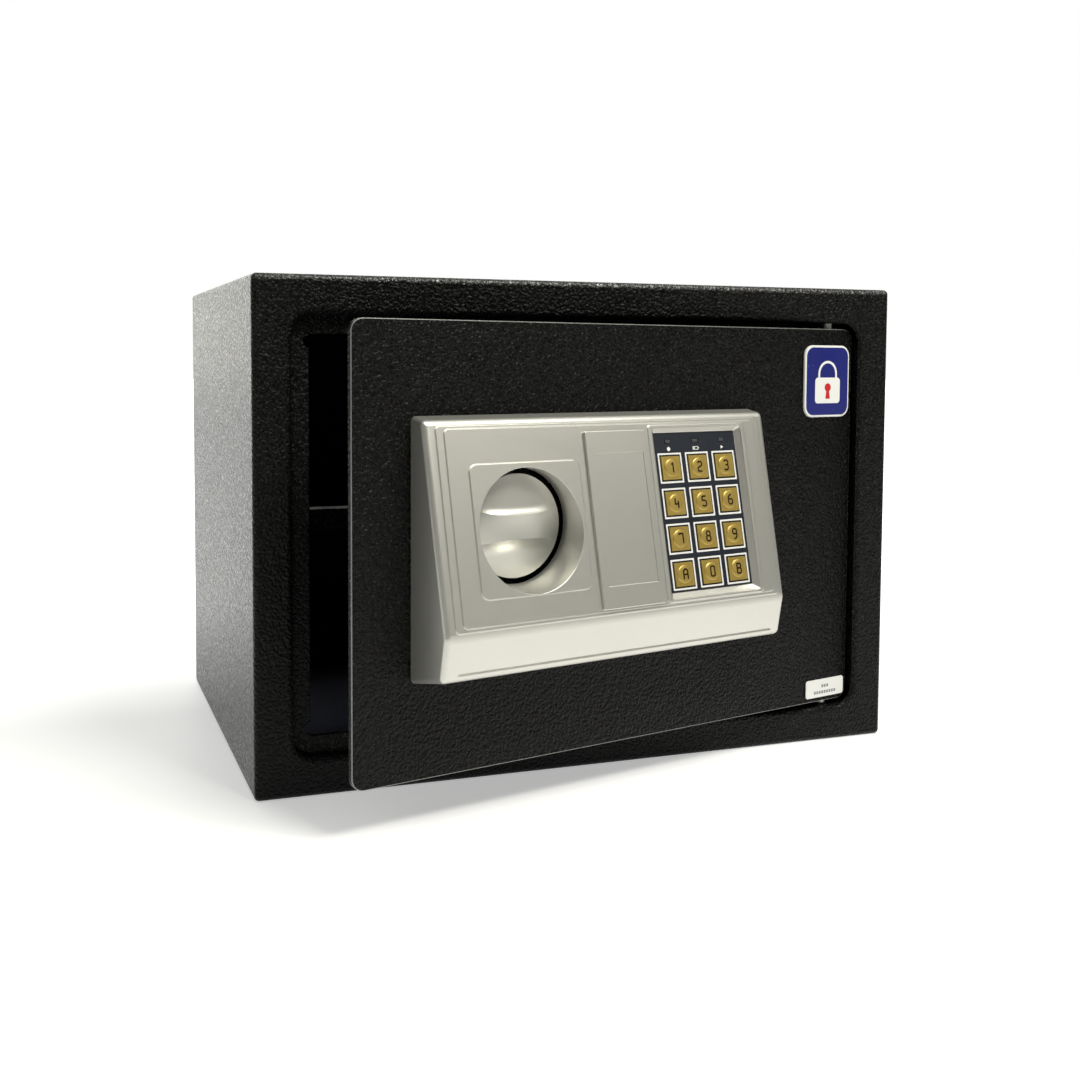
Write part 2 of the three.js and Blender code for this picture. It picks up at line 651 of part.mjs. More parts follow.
// A slot with round ends through a plate that lies across Y.
function slot(x, z, radius, y) {
  return join(
    box(x[0] === x[1] ? around(x[0], 2 * radius) : x, y, z[0] === z[1] ? around(z[0], 2 * radius) : z),
    rod("y", [x[0], z[0]], ...y, radius),
    rod("y", [x[1], z[1]], ...y, radius),
  );
}

function boltCarriage() {
  const level = [CARRIAGE.front, CARRIAGE.back];
  const through = [CARRIAGE.front - 1, CARRIAGE.back + 1];
  const main = box([CARRIAGE.left, CARRIAGE.right], level, [CARRIAGE.bottom, CARRIAGE.top]);
  const flange = box(
    [CARRIAGE.left, CARRIAGE.left + CARRIAGE.back - CARRIAGE.front],
    [CARRIAGE.front, CARRIAGE.flange],
    [CARRIAGE.bottom, CARRIAGE.top],
  );
  const catchArm = box([CARRIAGE.right - 1, CATCH.right], level, [CATCH.bottom, CATCH.top]);
  const pinU = DIAL.u + CRANK.radius * Math.sin(rad(SWEEP));
  const pinLow = DIAL.v + CRANK.radius * Math.cos(rad(SWEEP));
  const pinSlot = slot(
    [pinU, pinU],
    [pinLow - 1, DIAL.v + CRANK.radius + 1],
    CRANK.pin + CRANK.play,
    through,
  );
  const studSlots = [-1, 1].map((way) => {
    const v = DIAL.v + way * STUD.spread;
    return slot([STUD.u, STUD.u + throwLength], [v, v], STUD.shank + STUD.play, through);
  });
  const lightening = box(
    [LIGHTENING.left, LIGHTENING.right],
    through,
    [LIGHTENING.bottom, LIGHTENING.top],
  );
  return cut(join(main, flange, catchArm), pinSlot, ...studSlots, lightening);
}

function liveBolt(way) {
  const at = [BOLT.depth, DIAL.v + way * BOLT.spread];
  const end = CARRIAGE.left - GAP;
  return join(
    rod("x", at, BOLT.tip + BOLT.bevel, end, BOLT.radius, 32),
    rod("x", at, BOLT.tip, BOLT.tip + BOLT.bevel, BOLT.radius - BOLT.bevel, 32, BOLT.radius),
  );
}

function guideStud(way) {
  const at = [STUD.u, DIAL.v + way * STUD.spread];
  return join(
    rod("y", at, DOOR.sheet + GAP, CARRIAGE.front - GAP, STUD.shoulder),
    rod("y", at, DOOR.sheet + 1, CARRIAGE.back + STUD.headDeep, STUD.shank),
    rod("y", at, CARRIAGE.back + GAP, CARRIAGE.back + STUD.headDeep, STUD.head),
  );
}

add(sheet, "dial", dial(), "silverPaint");
add(sheet, "crank", crank(), "zincSteel");
add(sheet, "bolt_carriage", boltCarriage(), "zincSteel");
add(sheet, "live_bolt_upper", liveBolt(1), "chromeSteel");
add(sheet, "live_bolt_lower", liveBolt(-1), "chromeSteel");
add(sheet, "guide_stud_upper", guideStud(1), "zincSteel");
add(sheet, "guide_stud_lower", guideStud(-1), "zincSteel");

// ---------------------------------------------------------------- solenoid

const coilX = around(COIL.u, COIL.width);
const coilY = around(COIL.y, COIL.depth);

function solenoidFrame() {
  const outer = box(coilX, coilY, [COIL.bottom, COIL.top]);
  const inner = box(widen(coilX, -COIL.sheet), widen(coilY, 1), widen([COIL.bottom, COIL.top], -COIL.sheet));
  const mouth = rod("z", [COIL.u, COIL.y], COIL.bottom - 1, COIL.bottom + 3, PLUNGER.radius + PLUNGER.play);
  return cut(outer, inner, mouth);
}

function solenoidCoil() {
  const ends = widen([COIL.bottom, COIL.top], -COIL.sheet - GAP);
  const at = [COIL.u, COIL.y];
  const body = join(
    rod("z", at, ends[0], ends[1], COIL.radius),
    rod("z", at, ends[0], ends[0] + COIL.cheek, COIL.radius + COIL.cheek),
    rod("z", at, ends[1] - COIL.cheek, ends[1], COIL.radius + COIL.cheek),
  );
  return cut(body, rod("z", at, ends[0] - 1, ends[1] - 4, PLUNGER.radius + PLUNGER.play));
}

function solenoidPlunger() {
  const tip = CATCH.top + GAP;
  const at = [COIL.u, COIL.y];
  return join(
    rod("z", at, tip, COIL.top - PLUNGER.inside, PLUNGER.radius),
    rod("z", at, tip + PLUNGER.headLow, tip + PLUNGER.headHigh, PLUNGER.head),
  );
}

add(sheet, "solenoid_frame", solenoidFrame(), "zincSteel");
add(sheet, "solenoid_coil", solenoidCoil(), "copper");
add(sheet, "solenoid_plunger", solenoidPlunger(), "chromeSteel");

// ---------------------------------------------------------------- emergency key lock

const lockAt = [LOCK.u, LOCK.v];

function lockBarrel() {
  const body = join(
    rod("y", lockAt, LOCK.front, LOCK.back, LOCK.radius, 32),
    rod("y", lockAt, LOCK.front, LOCK.front + 2, LOCK.collar, 32),
    rod("y", lockAt, DOOR.sheet + GAP, DOOR.sheet + 4, LOCK.collar + 1, 6),
  );
  return cut(body, rod("y", lockAt, LOCK.front - 1, LOCK.back + 1, LOCK.plug + GAP, 32));
}

function lockPlug() {
  const keyway = box(
    around(LOCK.u, KEYWAY.width),
    [LOCK.front - 1, LOCK.front + KEYWAY.deep],
    around(LOCK.v, KEYWAY.height),
  );
  return cut(rod("y", lockAt, LOCK.front + 0.5, LOCK.back + 3.5, LOCK.plug, 32), keyway);
}

function lockLever() {
  const level = [LOCK.back + GAP, LOCK.back + GAP + LEVER.sheet];
  const arm = join(
    box([LOCK.u, LOCK.u + LEVER.reach], level, around(LOCK.v, 2 * LEVER.half)),
    rod("y", [LOCK.u + LEVER.reach, LOCK.v], ...level, LEVER.half),
    rod("y", lockAt, ...level, LOCK.radius),
  );
  return cut(arm, rod("y", lockAt, level[0] - 1, level[1] + 1, LOCK.plug + GAP, 32));
}

add(sheet, "lock_barrel", lockBarrel(), "brass");
add(sheet, "lock_plug", lockPlug(), "brass");
add(sheet, "lock_lever", lockLever(), "zincSteel");

// ---------------------------------------------------------------- batteries, reset button and wiring

const cellRow = (i) => CELLS.bottom + TUB.edge + (i + 0.5) * CELLS.pitch;
const cellY = (TUB.front + TUB.back + TUB.wall) / 2;

function batteryHolder() {
  const outer = box([CELLS.left, CELLS.right], [TUB.front, TUB.back], [CELLS.bottom, cellsTop]);
  const troughs = Array.from({ length: CELLS.count }, (_, i) =>
    box(
      widen([CELLS.left, CELLS.right], -TUB.wall - 2),
      [TUB.front + TUB.wall, TUB.back + 1],
      around(cellRow(i), CELLS.pitch - 0.8),
    ),
  );
  return cut(outer, ...troughs);
}

function batteryCell(i) {
  const middle = (CELLS.left + CELLS.right) / 2;
  const at = [cellY, cellRow(i)];
  const way = i % 2 ? 1 : -1;
  const ends = around(middle, CELLS.length - 1.5);
  const nub = [middle + (way * (CELLS.length - 2)) / 2, middle + (way * CELLS.length) / 2];
  return join(
    rod("x", at, ...ends, CELLS.radius),
    rod("x", at, Math.min(...nub), Math.max(...nub), CELLS.nub, 16),
  );
}

function batteryLid() {
  const panel = box(
    widen([CELLS.left, CELLS.right], LID.lip),
    [LID.front, LID.front + LID.sheet],
    widen([CELLS.bottom, cellsTop], LID.lip),
  );
  const ridges = Array.from({ length: LID.ridges }, (_, i) => {
    const left = CELLS.left + LID.margin + i * LID.pitch;
    return box(
      [left, left + LID.ridge],
      [LID.front + 1, LID.front + LID.sheet + 1],
      around((CELLS.bottom + cellsTop) / 2, LID.ridgeLength),
    );
  });
  return join(panel, ...ridges);
}

function resetButton() {
  const at = [RESET.u, RESET.v];
  const inner = PAN.back - PAN.sheet - GAP;
  return join(
    rod("y", at, RESET.front, RESET.back, RESET.radius),
    rod("y", at, inner - RESET.flangeDeep, inner, RESET.flange),
  );
}

function wireLoom() {
  const stops = [
    [KEYPAD.middle, -6, DIAL.v],
    [KEYPAD.middle, 2, DIAL.v],
    [KEYPAD.middle - 2, 7, DIAL.v + 8],
    [KEYPAD.middle - 10, 8, DIAL.v + 28],
    [KEYPAD.middle - 28, 10, DIAL.v + 42],
    [COIL.u + COIL.width / 2 + GAP + 0.2, COIL.y, DIAL.v + 44],
  ].map((p) => new THREE.Vector3(...p));
  const path = new THREE.CatmullRomCurve3(stops);
  const section = new THREE.Shape();
  for (let i = 0; i < LOOM.sides; i++) {
    const turn = (2 * Math.PI * i) / LOOM.sides;
    const point = [LOOM.radius * Math.cos(turn), LOOM.radius * Math.sin(turn)];
    if (i) section.lineTo(...point);
    else section.moveTo(...point);
  }
  section.closePath();
  return solidOf(new THREE.ExtrudeGeometry(section, { steps: LOOM.steps, extrudePath: path }));
}

add(sheet, "battery_holder", batteryHolder(), "blackPlastic");
for (let i = 0; i < CELLS.count; i++) add(sheet, "battery_cell_" + (i + 1), batteryCell(i), "cellWrap");
add(sheet, "battery_lid", batteryLid(), "blackPlastic");
add(sheet, "reset_button", resetButton(), "redPlastic");
add(sheet, "wire_loom", wireLoom(), "cable");

// ---------------------------------------------------------------- badge and label

function sticker({ left, right, bottom, top, thickness, corner }) {
  return roundedPlate([left, right], [bottom, top], corner, [-GAP - thickness, -GAP]);
}

add(sheet, "badge", sticker(BADGE), "badge");
add(sheet, "rating_label", sticker(LABEL), "label");

export default safe;
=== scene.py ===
"""A small electronic safe with its door ajar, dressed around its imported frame."""
import json
import math

import bmesh
import bpy
from mathutils import Matrix, Vector

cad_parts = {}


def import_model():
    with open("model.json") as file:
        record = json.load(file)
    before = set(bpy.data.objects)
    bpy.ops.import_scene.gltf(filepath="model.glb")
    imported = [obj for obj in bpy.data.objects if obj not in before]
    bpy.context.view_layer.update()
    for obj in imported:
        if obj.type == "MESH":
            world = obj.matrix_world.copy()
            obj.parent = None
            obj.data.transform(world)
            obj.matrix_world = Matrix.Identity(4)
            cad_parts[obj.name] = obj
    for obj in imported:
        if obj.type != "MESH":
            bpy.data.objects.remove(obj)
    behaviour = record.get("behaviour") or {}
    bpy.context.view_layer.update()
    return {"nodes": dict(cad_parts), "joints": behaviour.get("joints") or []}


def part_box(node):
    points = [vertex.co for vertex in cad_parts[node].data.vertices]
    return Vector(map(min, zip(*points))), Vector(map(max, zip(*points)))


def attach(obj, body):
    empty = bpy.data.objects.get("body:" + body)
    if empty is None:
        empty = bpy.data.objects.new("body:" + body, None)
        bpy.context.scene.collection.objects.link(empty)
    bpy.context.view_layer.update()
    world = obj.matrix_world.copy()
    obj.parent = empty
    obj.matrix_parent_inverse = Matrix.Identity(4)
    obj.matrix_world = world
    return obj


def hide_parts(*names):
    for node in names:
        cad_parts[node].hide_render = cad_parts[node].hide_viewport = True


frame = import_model()
scene = bpy.context.scene

# ------------------------------------------------------------ sizes, in millimetres, and places

MM = Matrix.Scale(0.001, 4)  # the cabinet's own frame: X right, Y back, Z up
AJAR = math.radians(13.5)
EDGE_TO_PIVOT = (-294.0, -7.0, 22.0)  # from the hinge pin to the door's free lower corner
FACE_TOP = (161.6, 10.0)  # height and stand-off of the housing's sloping face at its top
RIDGE = (68.8, 29.6)
CHIN = (49.1, 25.9)
SLOPE = math.atan2(RIDGE[1] - FACE_TOP[1], FACE_TOP[0] - RIDGE[0])

hinge = next(j for j in frame["joints"] if j["name"] == "door_hinge")
PIVOT = Vector((hinge["pos_m"][0], hinge["pos_m"][1], 0))
# The door's frame: X along the door from its free edge, Y back from its face, Z up.
DOOR = Matrix.Translation(PIVOT) @ Matrix.Rotation(AJAR, 4, "Z") @ MM @ Matrix.Translation(EDGE_TO_PIVOT)
# The sloping face's frame: X as on the door, Y into the face, Z up the slope from its top edge.
FACE = DOOR @ Matrix.Translation((0, -FACE_TOP[1], FACE_TOP[0])) @ Matrix.Rotation(-SLOPE, 4, "X")
FACE_ON_DOOR = DOOR.inverted() @ FACE

CABINET = {"half": 175, "top": 250, "front": -125, "back": 125, "sheet": 2, "corner": 2.5, "bend": 2.6}
OPENING = {"half": 156, "low": 19, "high": 231, "corner": 10, "lip": 3.2}
JAMB = {"front": -118, "back": -116, "reach": 9, "cut": 118, "relief": 3, "relief_up": 0.6}
HINGE_SLOT = {"front": 2.5, "side": 8, "up": 6}  # how far the cut for each hinge passes the opening
HINGE_LIP = {"sheet": 2, "front": 1.2, "back": 20}
ANCHOR = {"side": 80, "back": 20, "radius": 5, "cleared": 6}
PLATE = {"wide": 306, "high": 206, "rim": 1.9}
HOUSING = {"left": 28.6, "right": 230.2, "wall": 2.2, "draft": 0.052, "gap": 0.3, "round": 2.4}
BASE = {"top": 163.4, "bottom": 44.3}
DIAL = {"u": 79, "v": 112.5, "radius": 24, "edge": 8, "crown": 13.5, "spindle": 4}
BAR = {"half": 5.5, "flare": 2.6, "sag": 0.5}
HOLLOW_ABOVE = (3.2, 0.18)  # how wide the bar's flank is, and how the floor rises from the rim
HOLLOW_BELOW = (7.5, 0.07)
DISH = {"base": 26, "flare": 0.085, "wall": 1.8, "foot": 7.4}
KEYPAD = {"left": 157, "right": 209, "top": 8.7, "bottom": 86.2, "film": 1.5, "sheet": 1.2, "lamps": 16.6}
KEY = {"pitch": 17.35, "side": 11.6, "first": 26, "face": 0.9, "back": 2.9, "dome": 4.7, "rise": 0.7}
KEY_FRAME = {"side": 14.85, "line": 0.85}
COVER = {"left": 113, "right": 149.5, "top": 7, "bottom": 90.5, "proud": 1.5}
PANEL = {"across": (117.2, 146.6), "up": (-79.9, -17.7), "level": 0.62}
TONGUE = {"across": (117.4, 145.1), "up": (-79.4, -18.1), "deep": 2.5, "wall": 1.2}
WELL = {"across": (117, 145.5), "up": (-79.8, -17.7), "deep": 4.2}
CHIN_LINE = {"across": (38, 222), "up": (-7.2, -6.6), "deep": 0.08}
# The steps on the sloping face: across it, up it, the corners, the front and back levels, the edge.
FACE_STEPS = (
    ((34.8, 224.6), (-92.9, -2.4), 2.2, -0.5, 0.6, 0.4),
    ((38.6, 221.4), (-91.3, -3.9), 2.4, -1.0, 0.4, 0.42),
    ((49, 109), (-80, -20), 4, -1.6, 0.3, 0.5),
    ((151.6, 214.4), (-90.9, -4.9), 2.0, -1.45, 0.3, 0.5),
)
# The mouth round the keypad, from the front to the film: across, up, the corners and the level.
MOUTH = (
    ((154.2, 211.8), (-89.6, -6.2), 1.6, -3),
    ((154.2, 211.8), (-89.6, -6.2), 1.6, -0.9),
    ((156.6, 209.4), (-86.6, -8.3), 0.6, KEYPAD["film"]),
)
BADGE = {"left": 269, "right": 303, "bottom": 158, "top": 197, "thickness": 1.6, "corner": 6}
PADLOCK = {"arm": 6.5, "rod": 1.3, "rise": 4, "half": 9.5, "low": -12, "high": 2, "eye": 2.3, "eye_at": -3.4}
LABEL = {"left": 275, "right": 304, "bottom": 2.5, "top": 12.5, "thickness": 0.4, "corner": 1.5}
LABEL_ROWS = ((8.6, 3), (5.2, 9))  # each row's height on the door and its number of bars
LABEL_BAR = {"pitch": 1.9, "half": 0.7, "high": 0.8}
SEAT = 0.3  # the clearance a plate on the door stands off by


# ------------------------------------------------------------ mesh tools

def rounded(x, z, radius, y, steps=6):
    """A rounded rectangle across Y, as points in order."""
    radius = max(radius, 0.05)
    middles = (
        (x[1] - radius, z[0] + radius, -90),
        (x[1] - radius, z[1] - radius, 0),
        (x[0] + radius, z[1] - radius, 90),
        (x[0] + radius, z[0] + radius, 180),
    )
    ring = []
    for cx, cz, start in middles:
        for i in range(steps + 1):
            turn = math.radians(start + 90 * i / steps)
            ring.append((cx + radius * math.cos(turn), y, cz + radius * math.sin(turn)))
    return ring


def circle(x, z, radius, y, steps=64):
    turns = (2 * math.pi * i / steps for i in range(steps))
    return [(x + radius * math.cos(t), y, z + radius * math.sin(t)) for t in turns]


def grown(span, by):
    return (span[0] - by, span[1] + by)


def loft(rings):
    """A closed body through rings of equal length, with both ends filled."""
    made = bmesh.new()
    loops = [[made.verts.new(p) for p in ring] for ring in rings]
    count = len(loops[0])
    for one, two in zip(loops, loops[1:]):
        for i in range(count):
            j = (i + 1) % count
            made.faces.new((one[i], one[j], two[j], two[i]))
    made.faces.new(loops[0][::-1])
    made.faces.new(loops[-1])
    return made


def slab(x, z, radius, front, back, edge=0.3, steps=6):
    """A rounded plate whose front rim is rolled over by "edge"."""
    rings = [rounded(x, z, radius, back, steps)]
    for i in range(4):
        turn = math.pi / 2 * i / 3
        inset = edge * (1 - math.cos(turn))
        level = front + edge * (1 - math.sin(turn))
        rings.append(rounded(grown(x, -inset), grown(z, -inset), radius - inset, level, steps))
    return loft(rings)


def block(x, y, z):
    return loft([[(x[i], yy, z[j]) for i, j in ((0, 0), (1, 0), (1, 1), (0, 1))] for yy in y])


def cylinder(axis, across, ends, radius, steps=48, end_radius=None):
    """A round bar along Y or Z; "across" is its place on the other two axes, in X, Y, Z order."""
    rings = []
    for end, size in zip(ends, (radius, end_radius or radius)):
        flat = circle(0, 0, size, 0, steps)
        if axis == "y":
            rings.append([(across[0] + a, end, across[1] + b) for a, _, b in flat])
        else:
            rings.append([(across[0] + a, across[1] + b, end) for a, _, b in flat])
    return loft(rings)


def solid(made):
    """A working object from a bmesh."""
    bmesh.ops.recalc_face_normals(made, faces=made.faces)
    mesh = bpy.data.meshes.new("work")
    made.to_mesh(mesh)
    made.free()
    obj = bpy.data.objects.new("work", mesh)
    scene.collection.objects.link(obj)
    return obj


def combine(target, how, *tools):
    """Adds, cuts or intersects working objects, and uses the tools up."""
    for tool in tools:
        step = target.modifiers.new("combine", "BOOLEAN")
        step.operation = how
        step.solver = "EXACT"
        step.object = tool
        bpy.context.view_layer.update()
        graph = bpy.context.evaluated_depsgraph_get()
        made = bpy.data.meshes.new_from_object(target.evaluated_get(graph))
        target.modifiers.clear()
        target.data = made
        bpy.data.objects.remove(tool)
    return target


def tidied(obj, gap=0.02):
    """Merges the slivers that cutting leaves, so that a bevel can run evenly."""
    made = bmesh.new()
    made.from_mesh(obj.data)
    bmesh.ops.remove_doubles(made, verts=made.verts, dist=gap)
    bmesh.ops.dissolve_limit(made, angle_limit=math.radians(0.8), verts=made.verts, edges=made.edges)
    made.to_mesh(obj.data)
    made.free()
    return obj


def settle(
    obj, name, place, body, finish, bevel=0.0, limit=35, smooth=35, stands_for=(), clamp=True
):
    """Puts a working object in its place as a named piece on a CAD body. "bevel" is in millimetres."""
    obj.name = name
    obj.data.name = name
    obj.data.transform(place)
    finishes = finish if isinstance(finish, (list, tuple)) else [finish]
    for one in finishes:
        obj.data.materials.append(one.material)
    for polygon in obj.data.polygons:
        polygon.use_smooth = True
    if bevel:
        step = obj.modifiers.new("edges", "BEVEL")
        step.width = bevel / 1000
        step.segments = 2
        step.limit_method = "ANGLE"
        step.angle_limit = math.radians(limit)
        step.use_clamp_overlap = clamp
    obj.data.set_sharp_from_angle(angle=math.radians(smooth))
    step = obj.modifiers.new("shading", "WEIGHTED_NORMAL")
    step.keep_sharp = not bevel
    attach(obj, body)
    if stands_for:
        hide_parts(*stands_for)


def cleaned(node):
    """A CAD node's mesh as a working bmesh in metres, with the triangles of each flat face joined."""
    made = bmesh.new()
    made.from_mesh(frame["nodes"][node].data)
    bmesh.ops.remove_doubles(made, verts=made.verts, dist=2e-6)
    bmesh.ops.dissolve_limit(made, angle_limit=math.radians(0.6), verts=made.verts, edges=made.edges)
    return made


def softened(node, body, finish, bevel=0.3, smooth=32):
    """The CAD node again with broken edges, standing for it."""
    obj = solid(cleaned(node))
    settle(obj, node + "_formed", Matrix.Identity(4), body, finish, bevel, 32, smooth, (node,))


# ------------------------------------------------------------ material tools

class Finish:
    """A procedural material on the piece's own coordinates, so its grain moves with the piece."""

    def __init__(self, name, **uniform):
        self.material = bpy.data.materials.new(name)
        self.material.use_nodes = True
        self.nodes = self.material.node_tree.nodes
        self.links = self.material.node_tree.links
        self.shader = self.nodes["Principled BSDF"]
        self.place = self.nodes.new("ShaderNodeTexCoord").outputs["Object"]
        for socket, value in uniform.items():
            self.shader.inputs[socket.replace("_", " ")].default_value = value

    def stretched(self, x, y, z):
        node = self.nodes.new("ShaderNodeMapping")
        node.inputs["Scale"].default_value = (x, y, z)
        self.links.new(self.place, node.inputs["Vector"])
        return node.outputs["Vector"]

    def noise(self, scale, detail=2.0, rough=0.5, distortion=0.0, at=None):
        node = self.nodes.new("ShaderNodeTexNoise")
        node.inputs["Scale"].default_value = scale
        node.inputs["Detail"].default_value = detail
        node.inputs["Roughness"].default_value = rough
        node.inputs["Distortion"].default_value = distortion
        self.links.new(at or self.place, node.inputs["Vector"])
        return node.outputs["Fac"]

    def cells(self, scale):
        node = self.nodes.new("ShaderNodeTexVoronoi")
        node.inputs["Scale"].default_value = scale
        self.links.new(self.place, node.inputs["Vector"])
        return node.outputs["Distance"]

    def bands(self, scale, axis):
        node = self.nodes.new("ShaderNodeTexWave")
        node.bands_direction = axis
        node.inputs["Scale"].default_value = scale
        self.links.new(self.place, node.inputs["Vector"])
        return node.outputs["Fac"]

    def axis(self, letter):
        node = self.nodes.new("ShaderNodeSeparateXYZ")
        self.links.new(self.place, node.inputs[0])
        return node.outputs[letter]

    def span(self, value, low, high, to_low=0.0, to_high=1.0):
        """The value mapped from low..high to to_low..to_high, and held at both ends."""
        node = self.nodes.new("ShaderNodeMapRange")
        sockets = ("From Min", "From Max", "To Min", "To Max")
        for socket, number in zip(sockets, (low, high, to_low, to_high)):
            node.inputs[socket].default_value = number
        self.links.new(value, node.inputs["Value"])
        return node.outputs["Result"]

    def maths(self, operation, one, two=0.0):
        node = self.nodes.new("ShaderNodeMath")
        node.operation = operation
        for socket, value in zip(node.inputs, (one, two)):
            if isinstance(value, (int, float)):
                socket.default_value = value
            else:
                self.links.new(value, socket)
        return node.outputs["Value"]

    def colour(self, factor, one, two):
        """The base colour, mixed from two by the factor."""
        node = self.nodes.new("ShaderNodeMix")
        node.data_type = "RGBA"
        for socket, value in (("A", one), ("B", two)):
            where = [s for s in node.inputs if s.name == socket and s.type == "RGBA"][0]
            where.default_value = (*value, 1)
        self.links.new(factor, node.inputs["Factor"])
        mixed = [s for s in node.outputs if s.type == "RGBA"][0]
        self.links.new(mixed, self.shader.inputs["Base Color"])

    def roughness(self, value, low, high, to_low, to_high):
        self.links.new(self.span(value, low, high, to_low, to_high), self.shader.inputs["Roughness"])

    def bump(self, height, millimetres):
        """Adds a bump over the ones that are already there."""
        node = self.nodes.new("ShaderNodeBump")
        node.inputs["Strength"].default_value = 1.0
        node.inputs["Distance"].default_value = millimetres / 1000
        self.links.new(height, node.inputs["Height"])
        if self.shader.inputs["Normal"].links:
            self.links.new(self.shader.inputs["Normal"].links[0].from_socket, node.inputs["Normal"])
        self.links.new(node.outputs["Normal"], self.shader.inputs["Normal"])


def powder(name, dark, light, grain, depth, rough):
    """Black wrinkle powder coat: rounded pebbles "grain" to the metre, with a finer skin on them."""
    made = Finish(name, Specular_IOR_Level=0.15)
    pebbles = made.noise(grain, 2.0, 0.45, 0.25)
    skin = made.noise(grain * 3.1, 2.0, 0.5, 0.2)
    made.colour(made.noise(9, 3), dark, light)
    made.roughness(pebbles, 0.36, 0.64, rough - 0.08, rough + 0.1)
    made.bump(made.span(pebbles, 0.36, 0.64), depth)
    made.bump(skin, depth * 0.16)
    return made


def steel(name, dark, light, rough, scratch=(4, 900, 900), metallic=1.0):
    """Brushed or turned metal; "scratch" is how close its lines lie along X, Y and Z."""
    made = Finish(name, Metallic=metallic)
    lines = made.noise(1.0, 3, 0.6, at=made.stretched(*scratch))
    made.colour(made.noise(60, 3), dark, light)
    made.roughness(lines, 0.3, 0.7, rough - 0.08, rough + 0.1)
    made.bump(lines, 0.02)
    return made


def plastic(name, dark, light, rough, grain=1400, depth=0.03):
    """Moulded plastic, ink, paper or enamel, with a fine grain."""
    made = Finish(name)
    made.colour(made.noise(25, 3), dark, light)
    made.roughness(made.noise(70, 3), 0.3, 0.7, rough - 0.06, rough + 0.08)
    made.bump(made.noise(grain, 2), depth)
    return made


FRAME_COAT = powder("frame_coat", (0.002, 0.002, 0.002), (0.004, 0.004, 0.0036), 690, 0.44, 0.25)
DOOR_COAT = powder("door_coat", (0.002, 0.002, 0.002), (0.0035, 0.0035, 0.0035), 630, 0.42, 0.25)

# The same coat on the cabinet, rubbed glossier along the bend over the door.
CABINET_COAT = powder("cabinet_coat", (0.002, 0.002, 0.002), (0.004, 0.004, 0.0036), 690, 0.44, 0.25)
RUBBED = CABINET_COAT.maths(
    "MULTIPLY",
    CABINET_COAT.span(CABINET_COAT.axis("Z"), 0.2468, 0.2478),
    CABINET_COAT.span(CABINET_COAT.axis("Y"), -0.1215, -0.1225),
)
CABINET_COAT.links.new(
    CABINET_COAT.span(RUBBED, 0, 1, 0.15, 1.0), CABINET_COAT.shader.inputs["Specular IOR Level"]
)
# a lighter grey half-metal finish for the rolled front rim of the door plate
RIM_GREY_METAL = steel("rim_grey_metal", (0.16, 0.16, 0.155), (0.3, 0.3, 0.29), 0.42, (700, 700, 700), 0.5)
ZINC = steel("zinc_plate", (0.52, 0.53, 0.52), (0.66, 0.66, 0.63), 0.34)
CHROME = steel("polished_steel", (0.72, 0.72, 0.72), (0.82, 0.82, 0.82), 0.16, (1500, 60, 60))
BRASS = steel("lock_brass", (0.48, 0.33, 0.12), (0.62, 0.44, 0.18), 0.26, (300, 1400, 300))

SILVER = Finish("silver_paint", Metallic=0.85, Coat_Weight=0.1, Coat_Roughness=0.25)
SILVER.colour(SILVER.noise(14, 3), (0.63, 0.625, 0.58), (0.685, 0.68, 0.63))
SILVER.roughness(SILVER.noise(1800, 1), 0.3, 0.7, 0.34, 0.46)
SILVER.bump(SILVER.noise(2200, 1), 0.012)
SILVER.bump(SILVER.noise(160, 2), 0.03)

FILM = Finish("keypad_film")
FILM.colour(FILM.noise(40, 2), (0.010, 0.013, 0.021), (0.016, 0.020, 0.030))
FILM.roughness(FILM.noise(300, 2), 0.3, 0.7, 0.28, 0.38)
FILM.bump(FILM.noise(900, 2), 0.01)

GOLD = Finish("gold_key", Metallic=0.55)
GOLD.colour(GOLD.noise(220, 3), (0.43, 0.30, 0.065), (0.52, 0.38, 0.105))
GOLD.roughness(GOLD.noise(900, 2), 0.3, 0.7, 0.30, 0.44)
GOLD.bump(GOLD.noise(1600, 2), 0.012)

INK = plastic("dark_ink", (0.016, 0.005, 0.003), (0.026, 0.009, 0.005), 0.5)
INK.shader.inputs["Specular IOR Level"].default_value = 0.15
WHITE_INK = plastic("white_ink", (0.78, 0.78, 0.76), (0.86, 0.86, 0.84), 0.45)
GREY_INK = plastic("grey_ink", (0.20, 0.20, 0.20), (0.28, 0.28, 0.28), 0.6)
RED_INK = plastic("red_enamel", (0.50, 0.015, 0.02), (0.62, 0.025, 0.03), 0.25)
PAPER = plastic("label_paper", (0.74, 0.74, 0.72), (0.82, 0.82, 0.80), 0.55, 600, 0.03)
NAVY = plastic("badge_enamel", (0.012, 0.016, 0.14), (0.018, 0.024, 0.19), 0.2, 300, 0.01)
BLACK_PLASTIC = plastic("black_plastic", (0.010, 0.010, 0.011), (0.018, 0.018, 0.019), 0.42)
RED_PLASTIC = plastic("red_plastic", (0.42, 0.02, 0.016), (0.52, 0.03, 0.022), 0.35)
LENS = plastic("indicator_lens", (0.045, 0.05, 0.055), (0.07, 0.075, 0.08), 0.2)
SHEATH = plastic("cable_sheath", (0.012, 0.013, 0.015), (0.022, 0.023, 0.026), 0.45, 900, 0.04)

BOARD = Finish("circuit_board")
BOARD.colour(BOARD.span(BOARD.cells(420), 0.25, 0.4), (0.02, 0.14, 0.045), (0.01, 0.075, 0.025))
BOARD.roughness(BOARD.noise(200), 0.3, 0.7, 0.3, 0.42)
BOARD.bump(BOARD.span(BOARD.cells(420), 0.25, 0.4), 0.03)

